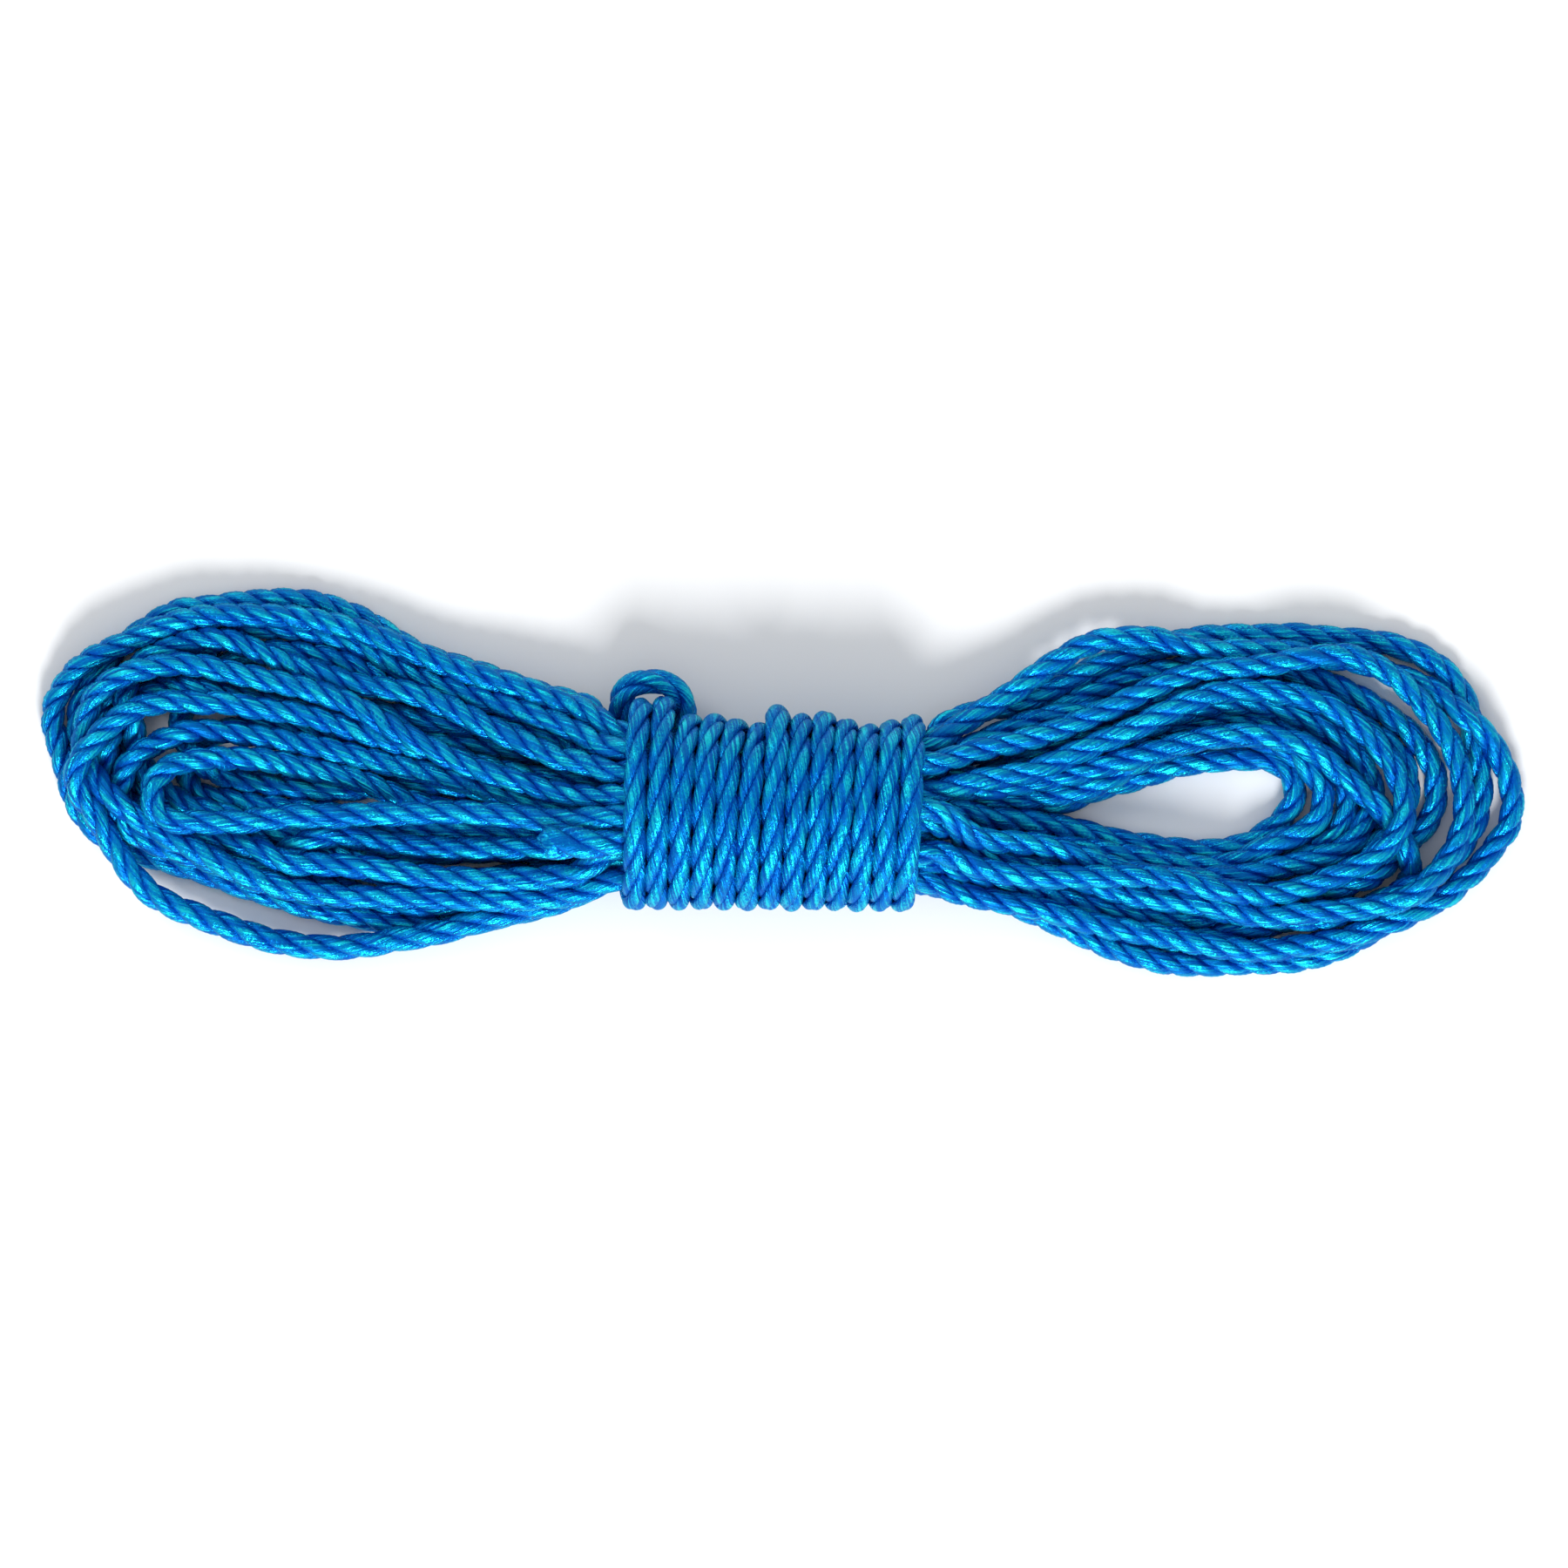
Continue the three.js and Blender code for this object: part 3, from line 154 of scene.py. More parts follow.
16038 -3382 768 15767 -3497 826 15486 -3597 860 15201 -3690 867 14921 -3797 859 14644 -3910 849 14358 -3999 834
14064 -4054 806 13770 -4103 775 13475 -4151 749 13178 -4193 735 12881 -4236 731 12584 -4273 738 12285 -4297 751
11985 -4304 756 11686 -4288 766 11389 -4253 784 11094 -4210 819 10800 -4159 851 10507 -4099 868 10214 -4035 868
9920 -3974 867 9624 -3924 877 9328 -3881 895 9033 -3835 919 8739 -3785 949 8446 -3733 991 8156 -3675 1039
7867 -3607 1083 7580 -3530 1122 7294 -3447 1158 7008 -3363 1197 6723 -3283 1242 6436 -3210 1291 6146 -3149 1335
5852 -3100 1368 5557 -3051 1397 5264 -2998 1431 4971 -2943 1469 4681 -2880 1513 4398 -2799 1568 4123 -2702 1637
3855 -2591 1712 3579 -2523 1807 3309 -2487 1933 3037 -2450 2052 2742 -2429 2099 2444 -2428 2130 2144 -2427 2146
1844 -2422 2152 1545 -2411 2159 1245 -2394 2162 946 -2383 2168 646 -2374 2170 346 -2377 2177 46 -2377 2187
-253 -2378 2193 -553 -2389 2176 -852 -2401 2167 -1152 -2399 2155 -1451 -2390 2138 -1750 -2386 2121 -2050 -2390 2103
-2349 -2387 2083 -2648 -2385 2062 -2948 -2384 2041 -3247 -2384 2016 -3539 -2382 1953 -3828 -2404 1880
-4118 -2437 1810 -4397 -2496 1718 -4662 -2594 1618 -4931 -2705 1547 -5212 -2796 1497 -5502 -2857 1455
-5797 -2904 1420 -6094 -2939 1396 -6392 -2961 1377 -6691 -2975 1355 -6990 -2985 1330 -7289 -2992 1306
-7588 -2996 1281 -7886 -2993 1255 -8185 -2983 1228 -8484 -2971 1213 -8784 -2960 1201 -9083 -2951 1189
-9383 -2941 1179 -9683 -2930 1172 -9983 -2921 1167 -10282 -2918 1163 -10582 -2922 1162 -10882 -2928 1163
-11182 -2917 1166 -11480 -2888 1171 -11778 -2851 1179 -12075 -2811 1190 -12371 -2767 1203 -12665 -2707 1220
-12955 -2634 1241 -13240 -2544 1266 -13520 -2446 1309 -13792 -2335 1369 -14060 -2205 1402 -14326 -2068 1392
-14594 -1934 1371 -14859 -1794 1357 -15124 -1655 1341 -15391 -1520 1316 -15658 -1384 1298 -15923 -1243 1291
-16183 -1096 1300 -16435 -940 1348 -16661 -769 1443 -16878 -587 1542 -17103 -394 1567 -17304 -189 1486 -17463 18 1340
-17620 232 1201 -17775 469 1104 -17882 744 1057 -17912 1040 1072 -17865 1332 1115 -17802 1624 1141 -17726 1913 1160
-17591 2174 1208 -17393 2391 1266 -17154 2568 1305 -16895 2708 1361 -16620 2817 1403 -16331 2889 1376
-16049 2948 1295 -15763 3002 1227 -15466 3020 1187 -15168 3005 1155 -14872 2971 1129 -14578 2915 1111
-14285 2848 1097 -13993 2783 1089 -13700 2718 1085 -13407 2654 1085 -13113 2595 1088 -12818 2538 1094
-12525 2475 1103 -12234 2403 1116 -11947 2319 1134 -11661 2231 1149 -11378 2131 1161 -11104 2011 1179
-10837 1876 1202 -10576 1730 1227 -10317 1581 1257 -10061 1431 1297 -9805 1279 1333 -9543 1134 1353 -9275 1000 1366
-9005 872 1387 -8735 743 1414 -8465 616 1445 -8194 492 1479 -7922 372 1517 -7644 267 1559 -7361 181 1605
-7074 109 1656 -6788 37 1711 -6506 -46 1771 -6230 -141 1838 -5951 -225 1911 -5668 -282 1991 -5386 -323 2084
-5110 -357 2198 -4835 -381 2314 -4559 -359 2427 -4299 -324 2573 -4043 -315 2727 -3750 -305 2790 -3455 -287 2838
-3157 -320 2832 -2862 -367 2806 -2568 -400 2757 -2271 -412 2721 -1971 -404 2711 -1672 -389 2705 -1372 -385 2694
-1073 -366 2688 -773 -354 2677 -474 -349 2661 -175 -337 2646 124 -317 2627 423 -292 2613 722 -275 2600 1021 -278 2612
1320 -293 2631 1619 -303 2652 1918 -310 2674 2218 -312 2680 2518 -315 2673 2815 -328 2640 3106 -318 2569
3392 -275 2490 3682 -238 2427 3972 -206 2358 4255 -147 2276 4532 -62 2202 4811 22 2129 5096 72 2051 5384 111 1976
5674 153 1912 5966 202 1864 6256 262 1819 6536 354 1764 6803 476 1702 7071 598 1645 7344 712 1596 7617 826 1551
7892 941 1510 8167 1054 1474 8443 1167 1443 8718 1284 1416 8989 1412 1396 9254 1552 1384 9519 1690 1370
9791 1815 1346 10065 1934 1318 10341 2051 1301 10622 2152 1285 10905 2242 1243 11194 2311 1198 11490 2340 1168
11789 2355 1144 12087 2353 1111 12385 2335 1084 12681 2294 1058 12976 2243 1038 13269 2182 1022 13557 2098 1009
13838 1993 1001 14105 1858 996 14353 1689 994 14589 1504 996 14814 1305 1002 15024 1092 1011 15218 864 1024
15399 625 1042 15560 373 1065 15680 100 1095 15779 -180 1132 15843 -470 1176 15842 -761 1246 15775 -1034 1345
15636 -1298 1362 15462 -1533 1299 15252 -1744 1267 15015 -1927 1262 14759 -2084 1265 14491 -2218 1280
14216 -2335 1303 13940 -2452 1310 13659 -2557 1320 13375 -2650 1342 13087 -2730 1371 12796 -2793 1406
12504 -2847 1448 12210 -2877 1497 11918 -2857 1562 11638 -2800 1650 11345 -2767 1705 11049 -2732 1738
10756 -2672 1720 10467 -2592 1704 10182 -2501 1709 9886 -2451 1712 9588 -2418 1722 9290 -2390 1738 8991 -2374 1760
8692 -2374 1777 8392 -2388 1784 8093 -2403 1785 7793 -2410 1784 7493 -2417 1801 7194 -2420 1818 6894 -2419 1834
6595 -2417 1853 6297 -2403 1878 6000 -2373 1909 5705 -2331 1946 5412 -2279 1986 5122 -2217 2028 4837 -2136 2075
4565 -2028 2141 4305 -1911 2234 4045 -1812 2345 3757 -1772 2416 3471 -1806 2499 3178 -1845 2544 2881 -1882 2569
2582 -1899 2588 2284 -1930 2603 1985 -1952 2612 1686 -1959 2615 1386 -1961 2616 1086 -1974 2611 786 -1978 2596
487 -1978 2591 187 -1967 2581 -113 -1952 2578 -412 -1942 2561 -711 -1930 2546 -1011 -1917 2532 -1310 -1902 2516
-1609 -1885 2499 -1908 -1869 2478 -2206 -1851 2454 -2505 -1836 2432 -2803 -1825 2402 -3101 -1811 2369
-3396 -1775 2332 -3690 -1746 2278 -3962 -1692 2166 -4254 -1695 2106 -4530 -1800 2061 -4752 -1988 1992
-4982 -2167 1923 -5243 -2303 1868 -5528 -2375 1813 -5821 -2412 1758 -6116 -2436 1712 -6413 -2451 1670
-6711 -2460 1634 -7009 -2465 1602 -7307 -2469 1570 -7605 -2471 1537 -7904 -2467 1507 -8202 -2454 1478
-8500 -2436 1452 -8798 -2414 1430 -9096 -2385 1411 -9394 -2352 1395 -9691 -2311 1383 -9987 -2265 1374
-10284 -2218 1369 -10581 -2179 1375 -10879 -2151 1395 -11176 -2125 1378 -11473 -2105 1344 -11773 -2094 1331
-12072 -2085 1326 -12370 -2085 1358 -12663 -2041 1400 -12939 -1927 1401 -13196 -1791 1332 -13452 -1685 1219
-13720 -1621 1100 -13994 -1553 999 -14275 -1478 926 -14561 -1406 874 -14850 -1334 839 -15140 -1262 816
-15431 -1189 795 -15717 -1101 777 -15998 -999 752 -16270 -883 705 -16515 -729 626 -16738 -559 522 -16949 -355 465
-17134 -125 506 -17269 128 592 -17348 398 695 -17338 674 807 -17272 961 852 -17188 1241 792 -17094 1473 632
-16937 1674 478 -16725 1874 416 -16518 2086 453 -16290 2271 504 -16019 2393 542 -15736 2459 611 -15471 2460 746
-15194 2417 845 -14901 2363 835 -14635 2310 711 -14369 2250 591 -14082 2187 531 -13791 2129 490 -13497 2080 457
-13199 2048 437 -12901 2020 421 -12603 1991 403 -12305 1962 385 -12006 1940 376 -11706 1924 380 -11407 1914 386
-11107 1898 393 -10809 1870 405 -10512 1827 420 -10218 1773 440 -9925 1713 463 -9632 1655 491 -9338 1606 523
-9042 1574 560 -8746 1546 601 -8450 1517 639 -8154 1495 682 -7857 1477 724 -7560 1460 761 -7263 1435 789
-6967 1396 820 -6673 1349 859 -6382 1294 905 -6094 1233 961 -5810 1164 1031 -5543 1061 1119 -5299 925 1229
-5069 774 1346 -4848 622 1481 -4638 491 1649 -4397 437 1817 -4132 474 1950 -3847 511 2035 -3553 558 2043
-3255 548 2021 -2968 473 1979 -2686 383 1930 -2400 301 1899 -2106 256 1867 -1810 234 1829 -1514 190 1807
-1217 150 1796 -918 123 1785 -619 108 1766 -320 99 1746 -21 97 1724 279 85 1714 578 69 1710 878 55 1700 1177 39 1698
1476 19 1704 1776 -3 1709 2075 -12 1723 2374 5 1721 2671 39 1696 2963 87 1646 3245 128 1554 3522 161 1444
3799 182 1331 4085 195 1240 4376 178 1170 4659 127 1088 4946 89 1008 5238 104 945 5527 169 900 5814 245 859
6106 302 822 6401 348 795 6696 398 775 6989 460 760 7280 532 749 7569 614 745 7854 708 748 8134 814 756 8410 930 772
8683 1049 806 8950 1179 850 9213 1323 866 9475 1467 850 9738 1608 816 10008 1731 782 10290 1834 766 10576 1922 755
10869 1983 734 11166 2017 706 11464 2039 685 11764 2043 677 12062 2018 670 12357 1967 654 12648 1896 636
12936 1811 624 13217 1710 607 13488 1588 567 13747 1447 513 13993 1287 450 14229 1109 401 14452 910 368 14659 695 346
14844 460 333 14990 198 334 15092 -83 322 15128 -378 298 15072 -669 330 14959 -924 435 14823 -1169 541
14664 -1408 627 14454 -1607 699 14202 -1766 736 13930 -1888 767 13646 -1978 798 13356 -2047 826 13062 -2101 851
12768 -2151 890 12481 -2211 951 12207 -2288 1043 11923 -2352 1115 11630 -2401 1151 11332 -2433 1170 11033 -2451 1177
10733 -2464 1167 10434 -2471 1151 10134 -2464 1141 9835 -2442 1143 9538 -2405 1153 9241 -2361 1171 8947 -2309 1196
8657 -2241 1229 8372 -2160 1276 8090 -2077 1334 7807 -1994 1389 7527 -1901 1446 7251 -1802 1510 6975 -1709 1578
6695 -1631 1651 6410 -1576 1730 6124 -1542 1813 5838 -1525 1902 5554 -1512 1998 5274 -1493 2103 5010 -1434 2231
4770 -1334 2380 4555 -1208 2546 4364 -1047 2712 4146 -874 2820 3894 -735 2901 3613 -671 2979 3318 -679 3026
3019 -702 3046 2720 -716 3056 2420 -725 3062 2121 -735 3057 1821 -735 3049 1522 -726 3032 1223 -721 3005
924 -710 2981 626 -709 2963 327 -732 2975 28 -752 2994 -270 -766 3021 -569 -779 3040 -869 -795 3046 -1168 -810 3049
-1468 -825 3045 -1767 -841 3047 -2066 -864 3031 -2366 -877 3030 -2665 -893 3011 -2963 -891 2978 -3252 -864 2906
-3552 -868 2903 -3848 -876 2857 -4145 -872 2817 -4439 -868 2759 -4715 -893 2644 -4993 -930 2539 -5265 -972 2420
-5545 -977 2314 -5833 -965 2229 -6122 -941 2155 -6413 -911 2089 -6706 -881 2029 -6999 -852 1976 -7294 -821 1928
-7590 -795 1886 -7887 -776 1848 -8185 -769 1814 -8483 -766 1784 -8782 -768 1757 -9081 -774 1732 -9380 -784 1710
-9679 -797 1690 -9978 -808 1673 -10277 -813 1657 -10577 -812 1644 -10877 -826 1633 -11175 -851 1625 -11475 -869 1618
-11774 -865 1614 -12074 -855 1612 -12374 -853 1612 -12673 -874 1615 -12971 -911 1619 -13269 -946 1626
-13567 -978 1634 -13866 -1003 1644 -14165 -1014 1656 -14465 -1022 1669 -14761 -1015 1711 -15058 -1011 1756
-15357 -1009 1758 -15649 -953 1727 -15896 -787 1711 -16053 -536 1682 -16092 -244 1641 -16022 30 1547 -15846 256 1465
-15601 418 1413 -15319 515 1381 -15025 573 1383 -14736 599 1327 -14458 611 1215 -14167 615 1140 -13873 612 1085
-13577 600 1036 -13281 572 994 -12989 518 958 -12697 456 926 -12405 392 898 -12113 329 874 -11819 271 855
-11526 211 841 -11233 147 831 -10942 72 829 -10657 -17 851 -10380 -131 868 -10112 -261 837 -9845 -376 765
-9573 -475 685 -9294 -562 620 -9009 -640 569 -8717 -695 524 -8422 -726 483 -8125 -745 442 -7829 -779 409
-7532 -815 388 -7234 -844 379 -6934 -852 365 -6635 -867 350 -6335 -877 346 -6035 -885 353 -5736 -883 369
-5439 -853 392 -5147 -789 422 -4860 -726 477 -4575 -735 569 -4299 -779 677 -4048 -847 825 -3771 -881 934
-3474 -887 963 -3183 -849 904 -2890 -804 857 -2591 -792 856 -2292 -801 873 -1992 -812 889 -1693 -802 875
-1393 -803 870 -1093 -804 879 -794 -799 857 -495 -793 852 -195 -788 850 105 -773 862 404 -776 856 704 -779 858
1004 -786 853 1304 -800 850 1602 -828 861 1901 -852 854 2200 -862 860 2499 -840 855 2787 -760 846 3064 -647 865
3347 -552 863 3624 -493 772 3874 -468 609 4128 -493 454 4404 -580 382 4674 -709 364 4965 -772 337 5263 -791 311
5563 -792 301 5863 -775 300 6160 -733 300 6454 -678 300 6749 -623 300 7040 -548 300 7324 -454 300 7607 -352 300
7888 -248 300 8172 -152 300 8461 -70 300 8751 7 300 9039 89 300 9325 179 300 9609 277 300 9895 367 300 10187 435 300
10483 483 300 10780 522 300 11078 556 300 11377 580 300 11677 588 300 11977 596 300 12277 594 300 12567 524 300
12824 371 300 13019 146 300 13113 -137 300 13086 -434 300 12964 -706 300 12780 -943 300 12559 -1145 300
12315 -1320 300 12067 -1488 300 11791 -1603 300 11498 -1667 300 11205 -1730 300 10907 -1761 300 10607 -1763 300
10307 -1745 300 10009 -1716 300 9712 -1676 300 9416 -1628 300 9119 -1584 300 8822 -1539 300 8527 -1487 299
8236 -1416 309 7949 -1333 342 7664 -1256 394 7379 -1189 456 7094 -1131 529 6811 -1084 619 6534 -1045 725
6248 -999 803 5959 -967 879 5675 -944 973 5395 -923 1078 5135 -886 1221 4905 -824 1403 4668 -755 1574 4426 -698 1741
4159 -686 1874 3869 -732 1934 3578 -794 1973 3284 -850 1993 2991 -911 1987 2697 -961 1955 2399 -994 1943
2099 -1009 1947 1800 -1010 1940 1501 -983 1932 1203 -954 1910 905 -929 1895 606 -906 1888 307 -886 1886 7 -870 1890
-292 -864 1900 -592 -861 1920 -891 -847 1936 -1190 -821 1939 -1488 -789 1944 -1787 -763 1953 -2086 -740 1955
-2383 -702 1949 -2680 -662 1942 -2978 -643 1918 -3271 -668 1859 -3544 -694 1741 -3776 -676 1553 -4023 -649 1386
-4306 -655 1287 -4578 -645 1163 -4853 -585 1060 -5140 -551 979 -5427 -521 897 -5715 -486 822 -6006 -450 756
-6297 -410 697 -6587 -365 635 -6877 -319 573 -7166 -259 522 -7459 -211 477 -7755 -181 437 -8051 -148 401
-8348 -116 371 -8645 -86 347 -8943 -61 329 -9243 -47 315 -9542 -37 300 -9842 -41 300 -10141 -66 300 -10438 -109 300
-10735 -146 300 -11035 -168 300 -11334 -183 300 -11634 -186 300 -11934 -175 300 -12233 -154 300 -12532 -125 300
-12830 -91 300 -13127 -52 299 -13424 -11 309 -13719 33 334 -14011 92 370 -14298 166 420 -14568 263 505 -14781 380 677
-14957 577 817 -15140 810 853 -15310 1040 770 -15437 1244 593 -15474 1501 447 -15438 1787 369 -15306 2046 303
-15127 2285 299 -14972 2541 300 -14743 2730 300 -14481 2874 300 -14230 3038 300 -13963 3174 300 -13675 3256 300
-13382 3319 300 -13085 3361 300 -12785 3355 300 -12487 3324 300 -12190 3283 300 -11894 3235 300 -11601 3168 300
-11313 3086 300 -11031 2983 300 -10764 2848 300 -10506 2694 300 -10244 2548 300 -9981 2404 300 -9705 2288 300
-9419 2196 300 -9129 2119 300 -8836 2056 300 -8541 2004 300 -8246 1949 300 -7952 1891 300 -7658 1830 300
-7364 1768 300 -7070 1712 308 -6774 1671 332 -6478 1638 371 -6185 1603 422 -5894 1560 482 -5609 1497 551
-5341 1389 628 -5106 1224 714 -4889 1041 811 -4677 867 931 -4467 731 1094 -4252 662 1290 -3995 652 1441
-3704 612 1496 -3416 535 1468 -3142 425 1419 -2867 329 1348 -2584 272 1269 -2286 246 1250 -1987 261 1264
-1688 262 1238 -1389 256 1216 -1089 246 1214 -791 259 1183 -492 265 1163 -193 284 1170 107 292 1179 406 289 1192
706 287 1190 1006 283 1192 1306 275 1186 1605 249 1197 1903 221 1200 2203 218 1201 2502 243 1199 2789 323 1172
3059 432 1100 3332 506 1003 3609 570 907 3888 608 803 4168 627 699 4453 634 605 4739 679 527 5013 780 463
5276 914 410 5532 1065 366 5788 1216 332 6047 1366 308 6307 1515 300 6567 1664 300 6826 1816 300 7089 1961 300
7358 2093 300 7632 2216 300 7909 2331 300 8186 2446 300 8464 2558 300 8747 2657 300 9037 2733 300 9332 2788 300
9628 2835 300 9924 2885 300 10219 2938 300 10516 2986 300 10814 3019 300 11113 3039 300 11413 3040 300 11713 3032 300
12012 3019 300 12311 2995 300 12607 2946 300 12899 2877 300 13189 2802 300 13479 2725 300 13765 2635 300
14045 2526 300 14320 2406 300 14589 2274 300 14853 2132 300 15111 1978 300 15360 1811 300 15608 1642 300
15847 1461 300 16070 1261 300 16263 1031 300 16425 779 300 16583 524 300 16702 250 300 16734 -48 300 16728 -348 300
16691 -645 300 16579 -921 300 16404 -1165 300 16214 -1396 300 15976 -1576 298 15729 -1741 308 15547 -1963 386
15383 -2164 536 15179 -2330 678 14929 -2452 789 14650 -2540 849 14359 -2613 845 14072 -2674 789 13794 -2724 688
13521 -2778 576 13244 -2838 479 12955 -2875 410 12658 -2881 364 12360 -2886 333 12063 -2920 317 11772 -2993 304
11490 -3093 300 11237 -3252 300 10972 -3391 300 10680 -3453 300 10382 -3486 298 10083 -3508 320 9785 -3504 350
9488 -3477 382 9196 -3422 425 8907 -3362 477 8619 -3302 536 8331 -3241 594 8044 -3177 652 7756 -3112 707
7467 -3049 756 7179 -2981 805 6893 -2905 853 6610 -2822 906 6327 -2743 968 6044 -2668 1035 5764 -2593 1112
5484 -2521 1190 5205 -2449 1274 4928 -2378 1366 4664 -2301 1484 4407 -2213 1611 4152 -2104 1726 3888 -2021 1840
3602 -1979 1920 3311 -1942 1984 3016 -1901 2012 2716 -1885 2025 2417 -1880 2040 2117 -1879 2052 1817 -1872 2061
1518 -1853 2069 1218 -1842 2069 919 -1830 2058 619 -1833 2048 319 -1839 2036 20 -1851 2017 -273 -1884 1966
-573 -1888 1956 -873 -1893 1949 -1172 -1891 1937 -1472 -1881 1927 -1772 -1875 1913 -2071 -1872 1896 -2370 -1863 1878
-2670 -1859 1858 -2968 -1861 1829 -3267 -1863 1801 -3560 -1846 1744 -3838 -1911 1654 -4135 -1926 1612
-4420 -1969 1532 -4688 -2052 1427 -4957 -2154 1343 -5218 -2272 1254 -5490 -2365 1167 -5769 -2444 1091
-6051 -2519 1022 -6335 -2590 955 -6620 -2658 892 -6906 -2729 836 -7193 -2800 786 -7482 -2871 744 -7772 -2938 706
-8063 -3002 672 -8354 -3065 637 -8647 -3120 603 -8942 -3159 571 -9241 -3172 547 -9539 -3152 524 -9834 -3113 489
-10127 -3055 455 -10418 -2989 426 -10709 -2919 402 -10998 -2845 382 -11288 -2769 367 -11581 -2706 360
-11877 -2656 363 -12171 -2596 368 -12461 -2518 364 -12748 -2432 352 -13034 -2345 327 -13319 -2258 297
-13605 -2169 300 -13889 -2073 300 -14171 -1971 300 -14454 -1870 300 -14739 -1776 300 -15024 -1685 300
-15311 -1596 300 -15600 -1516 300 -15889 -1437 300 -16177 -1352 300 -16460 -1253 300 -16738 -1141 300
-17006 -1006 300 -17241 -820 300 -17455 -610 300 -17616 -358 300 -17731 -81 300 -17819 205 300 -17898 495 300
-17980 783 300 -18056 1073 300 -18117 1367 300 -18123 1665 300 -18060 1958 300 -17956 2239 300 -17815 2504 300
-17650 2755 300 -17476 2999 300 -17291 3235 300 -17076 3443 300 -16836 3624 300 -16593 3799 300 -16347 3971 300
-16094 4132 300 -15838 4288 300 -15561 4402 300 -15265 4451 300 -14967 4478 300 -14668 4508 300 -14372 4554 300
-14075 4596 300 -13776 4627 300 -13477 4649 300 -13178 4665 300 -12878 4674 300 -12578 4663 300 -12279 4639 300
-11982 4600 300 -11692 4522 300 -11410 4421 300 -11129 4317 300 -10852 4200 300 -10585 4065 300 -10328 3910 300
-10080 3741 300 -9831 3574 300 -9577 3415 300 -9308 3281 300 -9028 3176 300 -8741 3087 300 -8453 3005 310
-8165 2922 329 -7879 2835 352 -7594 2745 381 -7313 2646 415 -7033 2546 452 -6752 2448 494 -6471 2355 539
-6187 2270 588 -5902 2195 641 -5617 2121 700 -5334 2047 765 -5060 1954 842 -4830 1789 937 -4677 1561 1052
-4494 1359 1173 -4241 1238 1273 -3958 1187 1357 -3667 1153 1417 -3375 1096 1453 -3092 1006 1492 -2820 883 1524
-2543 772 1541 -2247 735 1557 -1948 749 1565 -1650 724 1575 -1353 685 1590 -1054 661 1600 -755 648 1590 -456 631 1596
-158 658 1607 142 664 1616 442 664 1622 742 658 1625 1041 650 1627 1341 640 1627 1640 614 1625 1937 573 1629
2236 570 1629 2529 629 1608 2808 729 1560 3087 812 1489 3367 865 1399 3629 953 1285 3831 1119 1141 3983 1343 1014
4197 1532 925 4464 1645 851 4742 1737 786 5021 1828 726 5314 1875 681 5607 1921 638 5894 1993 590 6174 2094 550
6451 2207 526 6717 2343 510 6981 2485 498 7251 2616 492 7524 2740 479 7794 2866 446 8064 2990 407 8338 3108 375
8617 3214 346 8903 3301 323 9195 3369 307 9489 3428 300 9781 3494 300 10066 3588 300 10356 3666 300 10652 3709 300
10950 3744 300 11250 3746 300 11550 3756 300 11850 3764 300 12150 3760 300 12449 3771 300 12749 3783 300
13049 3783 300 13349 3772 300 13647 3744 300 13946 3710 300 14245 3686 300 14544 3668 300 14843 3642 300
15140 3603 300 15436 3554 300 15729 3491 300 16013 3393 300 16290 3279 300 16556 3140 300 16804 2971 300
17024 2768 300 17215 2537 300 17376 2285 300 17520 2022 300 17607 1735 300 17632 1436 300 17671 1139 300
17750 850 300 17817 557 300 17853 260 300 17881 -39 300 17885 -339 300 17844 -636 300 17774 -927 309 17658 -1202 333
17500 -1455 364 17326 -1696 403 17130 -1918 452 16917 -2121 508 16717 -2329 590 16524 -2515 724 16274 -2634 836
15986 -2703 865 15715 -2813 803 15462 -2952 722 15196 -3082 681 14917 -3193 669 14632 -3287 672 14344 -3366 693
14057 -3441 737 13766 -3493 786 13469 -3511 827 13171 -3502 852 12873 -3469 843 12576 -3436 814 12280 -3413 777
11981 -3394 756 11683 -3378 781 11391 -3342 834 11105 -3256 846 10825 -3165 793 10539 -3108 727 10246 -3065 680
9951 -3020 647 9656 -2970 627 9362 -2913 619 9069 -2847 620 8778 -2776 619 8485 -2710 612 8192 -2649 603
7897 -2593 596 7602 -2539 592 7307 -2484 591 7012 -2429 593 6717 -2377 599 6420 -2332 611 6123 -2297 634
5827 -2268 667 5531 -2243 710 5237 -2219 766 4948 -2185 837 4663 -2132 915 4385 -2106 1023 4112 -2112 1147
3839 -2085 1267 3570 -1989 1355 3352 -1804 1443 3115 -1635 1513 2833 -1555 1570 2534 -1554 1590 2234 -1564 1595
1934 -1566 1597 1635 -1562 1598 1335 -1557 1591 1035 -1543 1582 735 -1542 1576 435 -1538 1571 136 -1537 1561
-164 -1526 1549 -464 -1517 1546 -764 -1511 1545 -1063 -1508 1541 -1363 -1497 1532 -1663 -1483 1526 -1962 -1471 1515
-2262 -1457 1503 -2560 -1435 1486 -2860 -1429 1477 -3159 -1418 1464 -3454 -1404 1412 -3752 -1433 1392
-4046 -1450 1340 -4310 -1521 1219 -4529 -1638 1053 -4751 -1793 922 -4963 -1969 806 -5194 -2132 706 -5455 -2244 612
-5743 -2296 547 -6037 -2325 497 -6334 -2341 455 -6632 -2356 421 -6929 -2382 395 -7227 -2417 375 -7524 -2456 363
-7821 -2497 357 -8118 -2535 359 -8416 -2573 365 -8713 -2607 380 -9012 -2628 404 -9310 -2612 434 -9603 -2570 476
-9890 -2504 533 -10169 -2424 609 -10437 -2343 717 -10688 -2215 815 -10936 -2050 849 -11198 -1909 827 -11459 -1789 738
-11719 -1670 649 -11989 -1557 583 -12261 -1442 532 -12543 -1349 528 -12833 -1306 593 -13124 -1256 641
